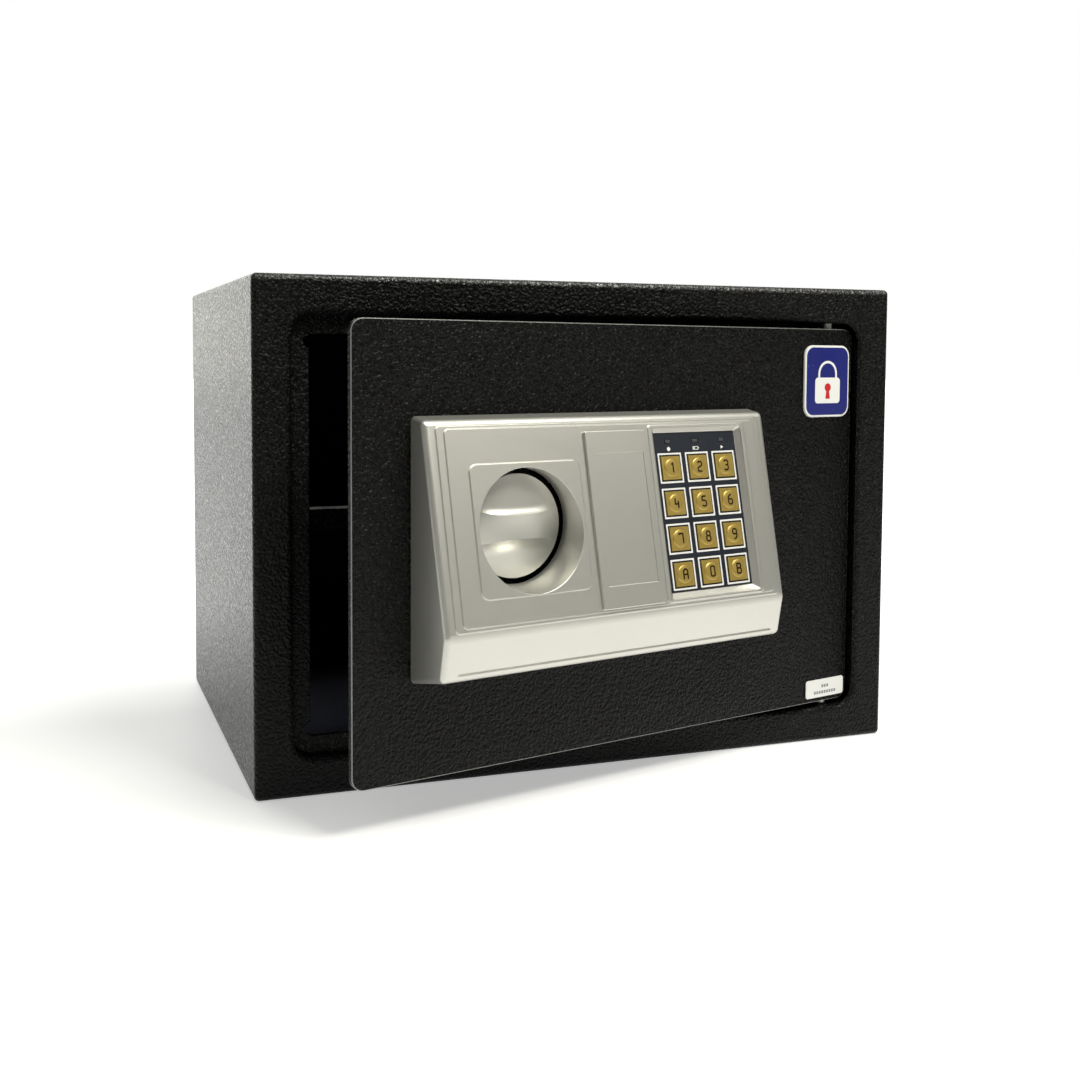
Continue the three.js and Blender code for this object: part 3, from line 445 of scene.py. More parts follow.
WINDING = Finish("coil_winding", Metallic=0.85)
WINDING.colour(WINDING.noise(150, 2), (0.42, 0.15, 0.06), (0.58, 0.24, 0.10))
WINDING.roughness(WINDING.bands(520, "Z"), 0, 1, 0.3, 0.5)
WINDING.bump(WINDING.bands(520, "Z"), 0.2)

CELL_WRAP = Finish("cell_wrap", Metallic=0.2)
CELL_WRAP.colour(
    CELL_WRAP.span(CELL_WRAP.noise(18, 0), 0.5, 0.52), (0.03, 0.035, 0.042), (0.05, 0.055, 0.062)
)
CELL_WRAP.roughness(CELL_WRAP.noise(60), 0.3, 0.7, 0.24, 0.36)
CELL_WRAP.bump(CELL_WRAP.noise(500), 0.02)

CARPET = Finish("carpet_pile", Sheen_Weight=0.12, Sheen_Roughness=0.5)
CARPET.colour(CARPET.noise(900, 3, 0.7), (0.006, 0.009, 0.025), (0.017, 0.024, 0.062))
CARPET.roughness(CARPET.noise(500), 0.3, 0.7, 0.85, 1.0)
CARPET.bump(CARPET.noise(1300, 3, 0.7), 0.8)


# ------------------------------------------------------------ cabinet

def cabinet_skin():
    """The folded wrap, front frame and back as one sheet-metal skin."""
    c, o = CABINET, OPENING
    outer_x, outer_z = (-c["half"], c["half"]), (0, c["top"])
    open_x, open_z = (-o["half"], o["half"]), (o["low"], o["high"])
    steps = 8

    def outer(inset, y):
        return rounded(grown(outer_x, -inset), grown(outer_z, -inset), c["corner"] - inset, y, steps)

    def opening(out, y):
        return rounded(grown(open_x, out), grown(open_z, out), max(o["corner"] + out, 1), y, steps)

    rings = [outer(1, c["back"]), outer(0.3, c["back"] - 0.3), outer(0, c["back"] - 1)]
    for i in range(6):
        turn = math.pi / 2 * i / 5
        rings.append(outer(c["bend"] * (1 - math.cos(turn)), c["front"] + c["bend"] * (1 - math.sin(turn))))
    for i in range(6):
        turn = math.pi / 2 * i / 5
        rings.append(opening(o["lip"] * (1 - math.sin(turn)), c["front"] + o["lip"] * (1 - math.cos(turn))))
    rings.append(opening(0, JAMB["front"] - 0.8))
    rings.append(opening(-0.25, JAMB["front"] - 0.2))
    rings.append(opening(-0.8, JAMB["front"]))
    rings.append(opening(0.5 - JAMB["reach"], JAMB["front"]))
    rings.append(opening(-JAMB["reach"], JAMB["front"] + 0.5))
    rings.append(opening(-JAMB["reach"], JAMB["back"]))
    rings.append(opening(c["sheet"], JAMB["back"]))
    rings.append(opening(c["sheet"], c["front"] + c["sheet"]))
    rings.append(outer(c["sheet"], c["front"] + c["sheet"]))
    rings.append(outer(c["sheet"], c["back"] - c["sheet"]))
    skin = solid(loft(rings))

    # the flange stops short of the hinge side, where each hinge has a slot and the edge has a lip
    through = grown(open_z, -JAMB["reach"])
    deep = JAMB["back"] + 1
    slot_x = (JAMB["cut"], o["half"] + HINGE_SLOT["side"])
    slot_y = (c["front"] + HINGE_SLOT["front"], deep)
    lip_x = (o["half"], o["half"] + HINGE_LIP["sheet"])
    lip_y = (c["front"] + HINGE_LIP["front"], c["front"] + HINGE_LIP["back"])
    combine(
        skin,
        "DIFFERENCE",
        solid(block((JAMB["cut"], o["half"] - 0.01), (c["front"] - 1, deep), through)),
        solid(block(slot_x, slot_y, (open_z[0] - HINGE_SLOT["up"], through[0] + 1))),
        solid(block(slot_x, slot_y, (through[1] - 1, open_z[1] + HINGE_SLOT["up"]))),
    )
    combine(skin, "UNION", solid(block(lip_x, lip_y, grown(through, -1))))
    relief, up = JAMB["relief"], JAMB["relief_up"]
    for z in (through[0] + relief + up, through[1] - relief - up):
        at = (JAMB["reach"] - o["half"], z)
        combine(skin, "DIFFERENCE", solid(cylinder("y", at, (JAMB["front"] - 1, deep), relief, 32)))
    for side in (-ANCHOR["side"], ANCHOR["side"]):
        hole = cylinder("z", (side, ANCHOR["back"]), (-1, c["sheet"] + 1), ANCHOR["radius"], 32)
        combine(skin, "DIFFERENCE", solid(hole))
    nodes = ("body_shell", "front_frame", "back_plate")
    settle(skin, "cabinet_skin", MM, "cabinet", CABINET_COAT, smooth=32, stands_for=nodes)


cabinet_skin()
for node in ("shelf", "shelf_bracket_left", "shelf_bracket_right", "hinge_tab_top", "hinge_tab_bottom"):
    softened(node, "cabinet", FRAME_COAT, 0.4)


def shelf_painted_highlight():
    """A white strip along the shelf's front fold: a painted highlight where the black bend catches the
    light.
    """
    low, high = (corner * 1000 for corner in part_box("shelf"))
    fold = (high.z - 1.7, high.z - 0.2)
    made = slab((low.x + 1, high.x - 1), fold, 0.5, low.y - 0.5, low.y + 0.5, 0.25)
    # white ink stands in for the glint on the shelf's black painted bend: a painted highlight
    settle(solid(made), "shelf_painted_highlight", MM, "cabinet", WHITE_INK, smooth=30)


shelf_painted_highlight()


def carpet():
    """The floor mat: a cut rectangle of short pile with soft, slightly uneven edges."""
    low, high = (corner * 1000 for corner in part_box("floor_mat"))
    made = bmesh.new()
    across, along = 120, 84
    tops, feet = [], []
    for j in range(along + 1):
        for i in range(across + 1):
            x = low.x + (high.x - low.x) * i / across
            y = low.y + (high.y - low.y) * j / along
            rim = min(i, across - i, j, along - j) == 0
            pile = 0.35 * math.sin(3.1 * i + 1.7 * j) * math.sin(1.3 * i - 2.3 * j)
            lift = -0.5 if rim else 0.4 * pile
            tops.append(made.verts.new((x, y, high.z - 0.4 + lift)))
            feet.append(made.verts.new((x, y, low.z)))
    row = across + 1
    for j in range(along):
        for i in range(across):
            a = j * row + i
            quad = (a, a + 1, a + row + 1, a + row)
            made.faces.new([tops[k] for k in quad])
            made.faces.new([feet[k] for k in quad[::-1]])
    rims = [
        list(range(row)),
        [j * row + across for j in range(along + 1)],
        [along * row + across - i for i in range(row)],
        [(along - j) * row for j in range(along + 1)],
    ]
    for rim in rims:
        for a, b in zip(rim, rim[1:]):
            made.faces.new((tops[b], tops[a], feet[a], feet[b]))
    mat = solid(made)
    for side in (-ANCHOR["side"], ANCHOR["side"]):
        hole = cylinder("z", (side, ANCHOR["back"]), (low.z - 1, high.z + 1), ANCHOR["cleared"], 32)
        combine(mat, "DIFFERENCE", solid(hole))
    settle(mat, "carpet_mat", MM, "cabinet", CARPET, smooth=60, stands_for=("floor_mat",))


carpet()

# ------------------------------------------------------------ door

def door_plate():
    """The door's plate, with its front edge rolled over and given a lighter grey half-metal finish."""
    made = cleaned("door_plate")
    made.transform(DOOR.inverted())

    def on_rim(edge):
        ends = [v.co for v in edge.verts]
        inset = max(min(p.x, PLATE["wide"] - p.x, p.z, PLATE["high"] - p.z) for p in ends)
        return inset < PLATE["rim"] and all(abs(p.y) < 0.05 for p in ends) and len(edge.link_faces) == 2

    rim = [e for e in made.edges if on_rim(e) and e.calc_face_angle(0) > 1]
    bmesh.ops.bevel(
        made, geom=rim, offset=0.42, segments=3, profile=0.5, affect="EDGES", material=1, clamp_overlap=True
    )
    coats = (DOOR_COAT, RIM_GREY_METAL)
    settle(solid(made), "door_plate_formed", DOOR, "door", coats, stands_for=("door_plate",))


door_plate()
softened("inner_cover", "door", FRAME_COAT, 0.5)
for up in ("top", "bottom"):
    softened("hinge_block_" + up, "door", FRAME_COAT, 0.6)
    softened("hinge_pin_" + up, "door", ZINC, 0.4)
for i in range(4):
    softened(f"cover_screw_{i + 1}", "door", ZINC, 0.2)

# ------------------------------------------------------------ lock housing

def outline(inset, level):
    """The housing's side view as (height, stand-off) points, from its lower back corner to its upper.

    "inset" moves every side inwards, and "level" is the stand-off of the back.
    """
    gap = HOUSING["gap"]

    def along(low, high, w):
        return low[0] + (high[0] - low[0]) * (w - low[1]) / (high[1] - low[1])

    foot, head = (BASE["bottom"], gap), (BASE["top"], gap)
    ring = [(along(foot, CHIN, level), level), CHIN, RIDGE, FACE_TOP, (along(head, FACE_TOP, level), level)]
    if not inset:
        return ring
    sides = []
    for (v, w), (next_v, next_w) in zip(ring, ring[1:] + ring[:1]):
        length = math.hypot(next_v - v, next_w - w)
        normal = ((next_w - w) / length, (v - next_v) / length)
        sides.append((normal, normal[0] * v + normal[1] * w + inset))
    moved = []
    for i, (one, reach) in enumerate(sides):
        other, other_reach = sides[i - 1]
        cross = other[0] * one[1] - other[1] * one[0]
        v = (other_reach * one[1] - other[1] * reach) / cross
        w = (other[0] * reach - other_reach * one[0]) / cross
        moved.append((v, w))
    return moved


def housing_block(inset, level, edge=0.0):
    """The housing's outer form, with its front edges rounded by "edge"."""
    ring = outline(inset, level)
    left, right = HOUSING["left"] + inset, HOUSING["right"] - inset
    draft = HOUSING["draft"]
    near = [(left + w * draft, -w, v) for v, w in ring]
    far = [(right - w * draft, -w, v) for v, w in ring]
    made = loft([near, far])
    if edge:
        rim = [e for e in made.edges if any(-v.co.y > level + 0.01 for v in e.verts)]
        bmesh.ops.bevel(
            made, geom=rim, offset=edge, segments=5, profile=0.5, affect="EDGES", clamp_overlap=True
        )
    return made


def on_face(made):
    """Moves a bmesh from the sloping face's frame to the door's."""
    made.transform(FACE_ON_DOOR)
    return made


def lock_housing():
    """The hollow housing with its stepped face, the dial's dish, the keypad's mouth and the lock's well."""
    at = (DIAL["u"], DIAL["v"])
    reach, foot = 40, DISH["foot"]
    flared = DISH["base"] + DISH["flare"] * reach
    root = DISH["base"] + DISH["flare"] * foot
    wide = (KEYPAD["left"], KEYPAD["right"])
    rise = (-KEYPAD["bottom"], -KEYPAD["top"])
    body = solid(housing_block(0, HOUSING["gap"], HOUSING["round"]))
    combine(body, "DIFFERENCE", solid(housing_block(HOUSING["wall"], -5)))
    collar = solid(cylinder("y", at, (-reach, -foot), flared + DISH["wall"], 96, root + DISH["wall"]))
    combine(collar, "INTERSECT", solid(housing_block(0.4, HOUSING["gap"])))
    tray = solid(on_face(block(grown(wide, 5), (1, 5), grown(rise, 4))))
    combine(tray, "INTERSECT", solid(housing_block(0.5, HOUSING["gap"])))
    steps = [solid(on_face(slab(*step))) for step in FACE_STEPS]
    combine(body, "UNION", *steps, collar, tray)
    seat = KEYPAD["film"] + KEYPAD["sheet"] + SEAT
    mouth = loft([rounded(*ring, 4) for ring in MOUTH])
    combine(
        body,
        "DIFFERENCE",
        solid(cylinder("y", at, (-reach, 1), flared, 96, DISH["base"])),
        solid(on_face(mouth)),
        solid(on_face(block(grown(wide, SEAT), (0, seat), grown(rise, SEAT)))),
        solid(on_face(block(grown(wide, -1.8), (0, 6), grown(rise, -1.2)))),
        solid(on_face(block(WELL["across"], (-1, WELL["deep"]), WELL["up"]))),
        chin_inset(),
    )
    settle(
        tidied(body), "lock_housing_formed", DOOR, "door", SILVER, 0.3, 38, 32,
        stands_for=("lock_housing",), clamp=False,
    )


def chin_inset():
    """The fine line pressed into the chin above its lower edge."""
    middle = ((RIDGE[0] + CHIN[0]) / 2, (RIDGE[1] + CHIN[1]) / 2)
    lean = math.atan2(RIDGE[1] - CHIN[1], RIDGE[0] - CHIN[0])
    place = Matrix.Translation((0, -middle[1], middle[0])) @ Matrix.Rotation(lean, 4, "X")
    made = block(CHIN_LINE["across"], (-1, CHIN_LINE["deep"]), CHIN_LINE["up"])
    made.transform(place)
    return solid(made)


lock_housing()


def lock_cover():
    """The raised plate over the key lock, with a shallow sunk panel, and the tongue that holds it."""
    across = (COVER["left"], COVER["right"])
    up = (-COVER["bottom"], -COVER["top"])
    plate = solid(slab(across, up, 1.0, -COVER["proud"] - 1.0, -SEAT, 0.5))
    sunk = block(PANEL["across"], (-9, -COVER["proud"] - PANEL["level"]), PANEL["up"])
    combine(plate, "DIFFERENCE", solid(sunk))
    tongue = solid(block(TONGUE["across"], (-SEAT - 0.2, TONGUE["deep"]), TONGUE["up"]))
    wall = TONGUE["wall"]
    hollow = block(grown(TONGUE["across"], -wall), (-SEAT, TONGUE["deep"] + 1.5), grown(TONGUE["up"], -wall))
    combine(tongue, "DIFFERENCE", solid(hollow))
    combine(plate, "UNION", tongue)
    settle(plate, "lock_cover_formed", FACE, "cover", SILVER, 0.2, 38, 32, ("lock_cover",))


lock_cover()


# ------------------------------------------------------------ dial

def dial():
    """A round knob, domed, with a waisted finger bar between two hollows."""
    radius, steps = DIAL["radius"], 56
    bar_rows, hollow_rows = 8, 18

    def height(x, z, crest):
        r = math.hypot(x, z) / radius
        dome = DIAL["crown"] - (DIAL["crown"] - DIAL["edge"]) * r * r
        past = abs(z) - crest
        if past <= 0:
            return dome - BAR["sag"] * (1 - (z / crest) ** 2) * (1 - r * r)
        fillet, rise = HOLLOW_ABOVE if z > 0 else HOLLOW_BELOW
        floor = DIAL["edge"] + rise * max(math.sqrt(max(radius * radius - x * x, 0)) - abs(z), 0)
        drop = 1 - (1 - min(past / fillet, 1)) ** 2.2
        return dome - (dome - floor) * drop

    rows = []
    for j in range(-bar_rows - hollow_rows, bar_rows + hollow_rows + 1):
        row = []
        for i in range(steps + 1):
            x = radius * math.sin(math.pi / 2 * (2 * i / steps - 1))
            far = math.sqrt(max(radius * radius - x * x, 0))
            crest = BAR["half"] + BAR["flare"] * (x / radius) ** 2
            edge = min(crest, far)
            side = 1 if j >= 0 else -1
            if abs(j) <= bar_rows:
                z = side * edge * abs(j) / bar_rows
            else:
                share = (abs(j) - bar_rows) / hollow_rows
                z = side * (edge + (far - edge) * share ** 1.3)
            row.append((x, -height(x, z, crest), z))
        rows.append(row)
    made = bmesh.new()
    grid = [[made.verts.new(p) for p in row] for row in rows]
    for one, two in zip(grid, grid[1:]):
        for i in range(steps):
            made.faces.new((one[i], one[i + 1], two[i + 1], two[i]))
    bmesh.ops.remove_doubles(made, verts=made.verts, dist=0.02)
    bmesh.ops.dissolve_degenerate(made, dist=0.01, edges=made.edges)
    rim = [e for e in made.edges if e.is_boundary]
    under = bmesh.ops.extrude_edge_only(made, edges=rim)["geom"]
    for vert in [g for g in under if isinstance(g, bmesh.types.BMVert)]:
        vert.co.y = -1.0
    loop = [g for g in under if isinstance(g, bmesh.types.BMEdge)]
    bmesh.ops.holes_fill(made, edges=loop, sides=0)
    bmesh.ops.recalc_face_normals(made, faces=made.faces)
    top_rim = [
        e for e in made.edges
        if len(e.link_faces) == 2 and e.calc_face_angle(0) > 0.7
        and all(abs(math.hypot(v.co.x, v.co.z) - radius) < 0.05 and v.co.y < -2 for v in e.verts)
    ]
    bmesh.ops.bevel(
        made, geom=top_rim, offset=0.5, segments=3, profile=0.5, affect="EDGES", clamp_overlap=True
    )
    bmesh.ops.translate(made, verts=made.verts, vec=(DIAL["u"], 0, DIAL["v"]))
    knob = solid(made)
    spindle = cylinder("y", (DIAL["u"], DIAL["v"]), (-3, 9.5), DIAL["spindle"], 32)
    combine(knob, "UNION", solid(spindle))
    settle(knob, "dial_formed", DOOR, "dial_unit", SILVER, 0.34, 24, 40, ("dial",))


dial()

# ------------------------------------------------------------ keypad

softened("keypad_panel", "door", FILM, 0.15)
softened("indicator_lens", "door", LENS, 0.15)
softened("keypad_board", "door", BOARD, 0.2)

KEY_NAMES = ("1", "2", "3", "4", "5", "6", "7", "8", "9", "A", "0", "B")
COLUMN = (KEYPAD["left"] + KEYPAD["right"]) / 2
PRINT = KEYPAD["film"] - 0.07  # the print's front, a little proud of the film
PRINT_DEPTH = 0.12


def key_place(i):
    """The middle of a key on the sloping face."""
    return COLUMN + (i % 3 - 1) * KEY["pitch"], -(KEY["first"] + i // 3 * KEY["pitch"])


def dome(r):
    """How far the key's round emboss stands up at this distance from its middle."""
    share = min(r / KEY["dome"], 1)
    return KEY["rise"] * (1 - share ** 11)


def key_cap(i, name):
    """A square key with a round emboss."""
    u, z = key_place(i)
    half = KEY["side"] / 2
    steps = 12
    square = rounded((u - half, u + half), (z - half, z + half), 0.5, 0, steps)
    count = len(square)

    def ring(share, lift):
        """From the square rim at 0 to the dome's foot at 1."""
        points = []
        for k in range(count):
            turn = math.radians(-90 + 360 * (k + 0.5) / count)
            foot = (u + KEY["dome"] * math.cos(turn + 0.02), z + KEY["dome"] * math.sin(turn + 0.02))
            x = square[k][0] + (foot[0] - square[k][0]) * share
            y = square[k][2] + (foot[1] - square[k][2]) * share
            points.append((x, KEY["face"] - lift, y))
        return points

    rings = [
        [(x, KEY["back"], y) for x, _, y in square],
        [(x, KEY["face"] + 0.25, y) for x, _, y in square],
        ring(0.02, -0.08),
        ring(0.05, 0),
        ring(1, 0),
    ]
    foot = rings[-1]
    for share in (0.99, 0.975, 0.955, 0.93, 0.9, 0.86, 0.8, 0.65, 0.35, 0.12):
        level = KEY["face"] - dome(KEY["dome"] * share)
        rings.append([(u + (x - u) * share, level, z + (y - z) * share) for x, _, y in foot])
    settle(
        solid(loft(rings)), f"key_{name}_cap", FACE, "key_body_" + name, GOLD, smooth=28,
        stands_for=("key_" + name,),
    )


# Each sign as strokes on a grid 2 wide and 4 high, its origin at its lower left corner.
SIGNS = {
    "1": [[(0.45, 3.3), (1.2, 4), (1.2, 0)]],
    "2": [
        [(0, 3.4), (0.5, 4), (1.5, 4), (2, 3.5), (2, 2.6), (1.5, 2.1), (0.5, 1.7), (0, 1.2), (0, 0), (2, 0)],
    ],
    "3": [
        [(0, 3.5), (0.5, 4), (1.5, 4), (2, 3.5), (2, 2.5), (1.6, 2.05), (0.7, 2.05)],
        [(1.6, 2.05), (2, 1.6), (2, 0.5), (1.5, 0), (0.5, 0), (0, 0.5)],
    ],
    "4": [[(0.2, 4), (0, 1.6), (2, 1.6)], [(1.6, 2.9), (1.6, 0)]],
    "5": [[(2, 4), (0.1, 4), (0, 2.3), (1.5, 2.3), (2, 1.8), (2, 0.5), (1.5, 0), (0.5, 0), (0, 0.4)]],
    "6": [
        [
            (1.5, 4), (0.5, 3.6), (0, 2.6), (0, 0.5), (0.5, 0),
            (1.5, 0), (2, 0.5), (2, 1.6), (1.5, 2.1), (0.05, 2.1),
        ],
    ],
    "7": [[(0, 3.4), (0, 4), (1.9, 4), (1.9, 0)]],
    "8": [
        [(0.5, 2.1), (0, 1.6), (0, 0.5), (0.5, 0), (1.5, 0), (2, 0.5), (2, 1.6), (1.5, 2.1), (0.5, 2.1)],
        [(0.5, 2.1), (0.1, 2.6), (0.1, 3.5), (0.6, 4), (1.4, 4), (1.9, 3.5), (1.9, 2.6), (1.5, 2.1)],
    ],
    "9": [
        [
            (2, 1.9), (0.5, 1.9), (0, 2.4), (0, 3.5), (0.5, 4),
            (1.5, 4), (2, 3.5), (2, 0.9), (1.4, 0), (0.5, 0),
        ],
    ],
    "A": [[(0, 0), (0, 3.3), (0.7, 4), (1.4, 4), (2, 3.3), (2, 0)], [(0, 1.9), (2, 1.9)]],
    "0": [[(0.4, 0), (0, 0.4), (0, 3.6), (0.4, 4), (1.6, 4), (2, 3.6), (2, 0.4), (1.6, 0), (0.4, 0)]],
    "B": [
        [(0, 0), (0, 4), (1.4, 4), (1.9, 3.5), (1.9, 2.6), (1.4, 2.1), (0, 2.1)],
        [(1.4, 2.1), (2, 1.6), (2, 0.5), (1.5, 0), (0, 0)],
    ],
}
SIGN_SCALE = (1.26, 1.2)
STROKE = 0.46


def stroke_mesh(lines, radius):
    """Rounded strokes as a mesh in X and Z, one closed body for each line."""
    curve = bpy.data.curves.new("strokes", "CURVE")
    curve.dimensions = "3D"
    curve.bevel_depth = radius
    curve.bevel_resolution = 1
    curve.use_fill_caps = True
    for line in lines:
        spline = curve.splines.new("POLY")
        spline.points.add(len(line) - 1)
        for point, (x, z) in zip(spline.points, line):
            point.co = (x, 0, z, 1)
    obj = bpy.data.objects.new("strokes", curve)
    scene.collection.objects.link(obj)
    bpy.context.view_layer.update()
    graph = bpy.context.evaluated_depsgraph_get()
    made = bmesh.new()
    made.from_mesh(bpy.data.meshes.new_from_object(obj.evaluated_get(graph)))
    bpy.data.objects.remove(obj)
    return made


def divided(line, step):
    """The same line with points no further apart than "step"."""
    points = [line[0]]
    for (x, z), (next_x, next_z) in zip(line, line[1:]):
        count = max(1, math.ceil(math.hypot(next_x - x, next_z - z) / step))
        points += [(x + (next_x - x) * k / count, z + (next_z - z) * k / count) for k in range(1, count + 1)]
    return points


def key_sign(i, name):
    """The key's sign, lying on its emboss a little right of the middle."""
    u, z = key_place(i)
    wide, high = SIGN_SCALE
    lines = [divided([((x - 1) * wide, (y - 2) * high) for x, y in line], 0.45) for line in SIGNS[name]]
    made = stroke_mesh(lines, STROKE)
    for vert in made.verts:
        r = math.hypot(vert.co.x, vert.co.z)
        vert.co.y = KEY["face"] - dome(r) + vert.co.y * 0.22
    bmesh.ops.translate(made, verts=made.verts, vec=(u + 0.2, 0, z))
    settle(solid(made), f"key_{name}_sign", FACE, "key_body_" + name, INK, smooth=50)


def frame_ring(x, z, width, radius=0.25):
    """A printed outline: a thin square ring."""
    made = bmesh.new()
    loops = []
    back = PRINT + PRINT_DEPTH
    for out, y in ((0, back), (0, PRINT), (-width, PRINT), (-width, back)):
        ring = rounded(grown(x, out), grown(z, out), radius, y, 2)
        loops.append([made.verts.new(p) for p in ring])
    count = len(loops[0])
    for one, two in zip(loops, loops[1:] + loops[:1]):
        for i in range(count):
            j = (i + 1) % count
            made.faces.new((one[i], one[j], two[j], two[i]))
    return made


def gather(parts):
    """Several bmeshes as one."""
    whole = bmesh.new()
    for part in parts:
        mesh = bpy.data.meshes.new("part")
        part.to_mesh(mesh)
        part.free()
        whole.from_mesh(mesh)
        bpy.data.meshes.remove(mesh)
    return whole


def keypad_print():
    """White frames round the keys, and a simple sign under each lamp: a dot, a cell and an arrow."""
    parts = []
    half = KEY_FRAME["side"] / 2
    for i in range(len(KEY_NAMES)):
        u, z = key_place(i)
        parts.append(frame_ring((u - half, u + half), (z - half, z + half), KEY_FRAME["line"]))
    row = -KEYPAD["lamps"]
    first, second, third = (key_place(i)[0] for i in range(3))

    def bar(x, z):
        return block(x, (PRINT, PRINT + PRINT_DEPTH), z)

    parts.append(loft([circle(first, row, 1.05, PRINT + y, 20) for y in (PRINT_DEPTH, 0)]))
    parts.append(frame_ring((second - 1.9, second + 1.7), (row - 0.85, row + 0.85), 0.3, 0.2))
    parts.append(bar((second + 1.8, second + 2.2), (row - 0.35, row + 0.35)))
    parts.append(bar((second - 1.4, second - 0.5), (row - 0.4, row + 0.4)))
    tip = [(third - 0.8, row - 0.9), (third + 1.0, row), (third - 0.8, row + 0.9)]
    parts.append(loft([[(x, PRINT + y, z) for x, z in tip] for y in (PRINT_DEPTH, 0)]))
    settle(solid(gather(parts)), "keypad_print", FACE, "door", WHITE_INK, smooth=30)


for i, name in enumerate(KEY_NAMES):
    key_cap(i, name)
    key_sign(i, name)
keypad_print()

# ------------------------------------------------------------ badge and label

def badge():
    """A white plate with a blue field and, on that, a plain padlock with a red keyhole."""
    b, p = BADGE, PADLOCK
    x, z = (b["left"], b["right"]), (b["bottom"], b["top"])
    front = -SEAT - b["thickness"]
    base = slab(x, z, b["corner"], front + 0.35, -SEAT, 0.6, 8)
    settle(solid(base), "badge_body", DOOR, "door", WHITE_INK, smooth=40, stands_for=("badge",))
    field = slab(grown(x, -1.15), grown(z, -1.15), b["corner"] - 1.0, front + 0.15, front + 0.6, 0.25, 8)
    settle(solid(field), "badge_field", DOOR, "door", NAVY, smooth=40)
    u, v = (x[0] + x[1]) / 2, (z[0] + z[1]) / 2
    level = front + 0.2

    turns = [math.radians(180 - 180 * i / 14) for i in range(15)]
    arm, rise = p["arm"], p["rise"]
    bow = [(u + arm * math.cos(t), v + rise + arm * math.sin(t)) for t in turns]
    arch = stroke_mesh([[(u - arm, v), *bow, (u + arm, v)]], p["rod"])
    for vert in arch.verts:
        vert.co.y = level + 0.08 + vert.co.y * 0.12
    across, up = (u - p["half"], u + p["half"]), (v + p["low"], v + p["high"])
    lock = slab(across, up, 2, level - 0.2, level + 0.3, 0.15)
    settle(solid(gather([arch, lock])), "badge_padlock", DOOR, "door", WHITE_INK, smooth=40)
    eye = loft([circle(u, v + p["eye_at"], p["eye"], level + y, 28) for y in (0, -0.3)])
    foot = ((-0.9, -4), (0.9, -4), (1.7, -9.5), (-1.7, -9.5))
    stem = loft([[(u + a, level + y, v + c) for a, c in foot] for y in (0, -0.29)])
    settle(solid(gather([eye, stem])), "badge_keyhole", DOOR, "door", RED_INK, smooth=40)


def label():
    """A white paper label with two rows of grey bars."""
    b, bar = LABEL, LABEL_BAR
    x, z = (b["left"], b["right"]), (b["bottom"], b["top"])
    front = -SEAT - b["thickness"]
    paper = slab(x, z, b["corner"], front, -SEAT, 0.12, 6)
    settle(
        solid(paper), "rating_label_paper", DOOR, "door", PAPER, smooth=40,
        stands_for=("rating_label",),
    )
    bars = []
    middle = (x[0] + x[1]) / 2
    for row, run in LABEL_ROWS:
        for k in range(run):
            at = middle + (k - (run - 1) / 2) * bar["pitch"]
            across, up = (at - bar["half"], at + bar["half"]), (row - bar["high"], row + bar["high"])
            bars.append(block(across, (front - 0.04, front + 0.05), up))
    settle(solid(gather(bars)), "rating_label_bars", DOOR, "door", GREY_INK, smooth=30)


badge()
label()

# ------------------------------------------------------------ works behind the door

softened("crank", "dial_unit", ZINC, 0.3)
softened("bolt_carriage", "bolt_work", ZINC, 0.3)
for up in ("upper", "lower"):
    softened("live_bolt_" + up, "bolt_work", CHROME, 0.3)
    softened("guide_stud_" + up, "door", ZINC, 0.25)
softened("solenoid_frame", "door", ZINC, 0.25)
softened("solenoid_coil", "door", WINDING, 0.25)
softened("solenoid_plunger", "plunger", CHROME, 0.3)
softened("lock_barrel", "door", BRASS, 0.3)
softened("lock_plug", "key_lock", BRASS, 0.2)
softened("lock_lever", "key_lock", ZINC, 0.25)
softened("battery_holder", "door", BLACK_PLASTIC, 0.3)
softened("battery_lid", "lid", BLACK_PLASTIC, 0.5)
softened("reset_button", "reset", RED_PLASTIC, 0.5)
softened("wire_loom", "door", SHEATH, 0, smooth=60)
for i in range(4):
    softened(f"battery_cell_{i + 1}", "door", CELL_WRAP, 0.3)

# ------------------------------------------------------------ stage, light and camera

def floor():
    """A pale floor that glows a little, most behind the object, and not ahead of the door."""
    made = bmesh.new()
    bmesh.ops.create_grid(made, x_segments=2, y_segments=2, size=12)
    ground = solid(made)
    ground.name = "studio_floor"
    finish = Finish("studio_floor")
    finish.colour(finish.noise(3), (0.86, 0.86, 0.86), (0.88, 0.88, 0.88))
    finish.roughness(finish.noise(5), 0.3, 0.7, 0.5, 0.6)
    finish.shader.inputs["Emission Color"].default_value = (1, 1, 1, 1)
    out = finish.maths("MULTIPLY", finish.axis("X"), 0.73)
    ahead = finish.maths("MULTIPLY_ADD", finish.axis("Y"), -0.68)
    finish.links.new(out, ahead.node.inputs[2])
    near = finish.span(ahead, 0.28, 0.75, 1.0, 0.0)
    front = finish.span(finish.axis("Y"), -0.5, -0.27, 0.16, 0.42)
    behind = finish.span(finish.axis("Y"), 0.05, 0.36, 0.0, 0.73)
    glow = finish.maths("MULTIPLY", near, finish.maths("ADD", front, behind))
    finish.links.new(glow, finish.shader.inputs["Emission Strength"])
    ground.data.materials.append(finish.material)


def area_light(name, place, target, size, energy, colour):
    light = bpy.data.lights.new(name, "AREA")
    light.shape = "RECTANGLE"
    light.size, light.size_y = size
    light.energy = energy
    light.color = colour
    obj = bpy.data.objects.new(name, light)
    scene.collection.objects.link(obj)
    obj.location = place
    obj.rotation_euler = (Vector(target) - Vector(place)).to_track_quat("-Z", "Y").to_euler()


ROOM_LIGHT = 0.03
GLOWS = (("Y", 0.80, 0.98, 2.4), ("Z", 0.4, 0.92, 0.6))  # the backdrop and the sky


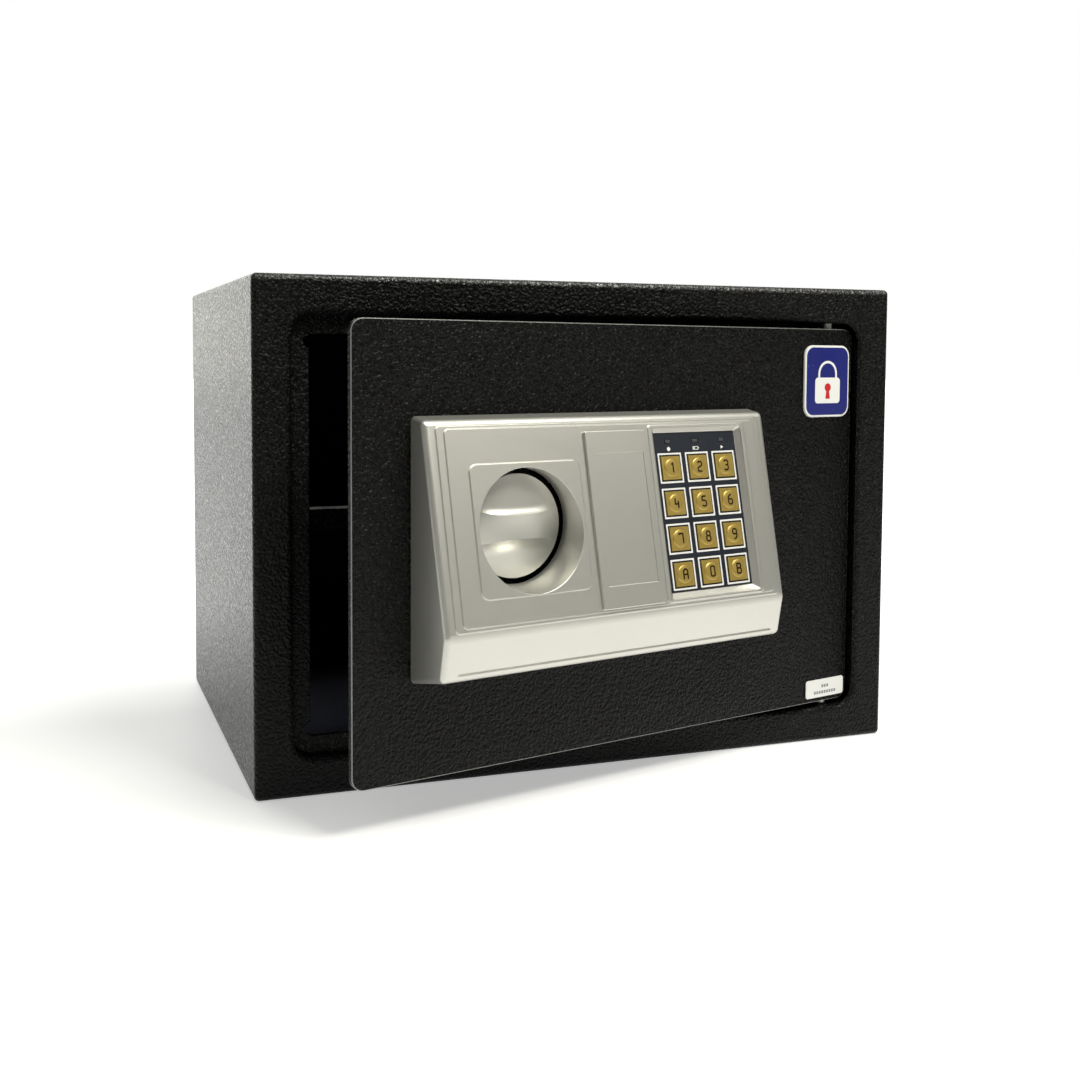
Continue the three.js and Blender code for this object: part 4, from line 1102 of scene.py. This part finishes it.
def world():
    """A bright backdrop behind the object and a dim room before it; the lens sees plain white."""
    made = bpy.data.worlds.new("studio")
    scene.world = made
    made.use_nodes = True
    nodes, links = made.node_tree.nodes, made.node_tree.links
    sky = nodes["Background"]
    place = nodes.new("ShaderNodeTexCoord").outputs["Generated"]
    split = nodes.new("ShaderNodeSeparateXYZ")
    links.new(place, split.inputs[0])
    strength = None
    for letter, low, high, reach in GLOWS:
        glow = nodes.new("ShaderNodeMapRange")
        glow.interpolation_type = "SMOOTHSTEP"
        for socket, number in zip(("From Min", "From Max", "To Max"), (low, high, reach)):
            glow.inputs[socket].default_value = number
        links.new(split.outputs[letter], glow.inputs["Value"])
        added = nodes.new("ShaderNodeMath")
        added.inputs[1].default_value = ROOM_LIGHT
        if strength:
            links.new(strength, added.inputs[1])
        links.new(glow.outputs["Result"], added.inputs[0])
        strength = added.outputs["Value"]
    links.new(strength, sky.inputs["Strength"])
    plain = nodes.new("ShaderNodeBackground")
    plain.inputs["Strength"].default_value = 1.0
    plain.inputs["Color"].default_value = (1, 1, 1, 1)
    sky.inputs["Color"].default_value = (1, 1, 0.94, 1)
    ray = nodes.new("ShaderNodeLightPath")
    mix = nodes.new("ShaderNodeMixShader")
    links.new(ray.outputs["Is Camera Ray"], mix.inputs["Fac"])
    links.new(sky.outputs[0], mix.inputs[1])
    links.new(plain.outputs[0], mix.inputs[2])
    links.new(mix.outputs[0], nodes["World Output"].inputs["Surface"])


def camera():
    """The camera that was fitted to the cabinet's corners, with its shift."""
    yaw, pitch, roll = 0.3618, -0.0616, 0.0062
    place = (-0.26746, -0.74755, 0.21103)
    ahead = Vector((math.sin(yaw) * math.cos(pitch), math.cos(yaw) * math.cos(pitch), math.sin(pitch)))
    level = Vector((math.cos(yaw), -math.sin(yaw), 0))
    above = level.cross(ahead)
    right = level * math.cos(roll) + above * math.sin(roll)
    up = right.cross(ahead)
    data = bpy.data.cameras.new("camera")
    data.lens = 44.14
    data.sensor_width = 36
    data.shift_y = -0.0926
    data.clip_start = 0.01
    obj = bpy.data.objects.new("camera", data)
    scene.collection.objects.link(obj)
    turn = Matrix((right, up, -ahead)).transposed().to_4x4()
    obj.matrix_world = Matrix.Translation(place) @ turn
    scene.camera = obj


floor()
world()
area_light("key_light", (0.42, -0.82, 1.3), (0.05, -0.15, 0.1), (0.7, 0.45), 17, (1, 0.98, 0.90))
area_light("side_softbox", (0.84, -0.93, 0.70), (0.0, -0.17, 0.12), (0.5, 0.4), 0.85, (1, 0.975, 0.875))
camera()
scene.view_settings.view_transform = "Standard"
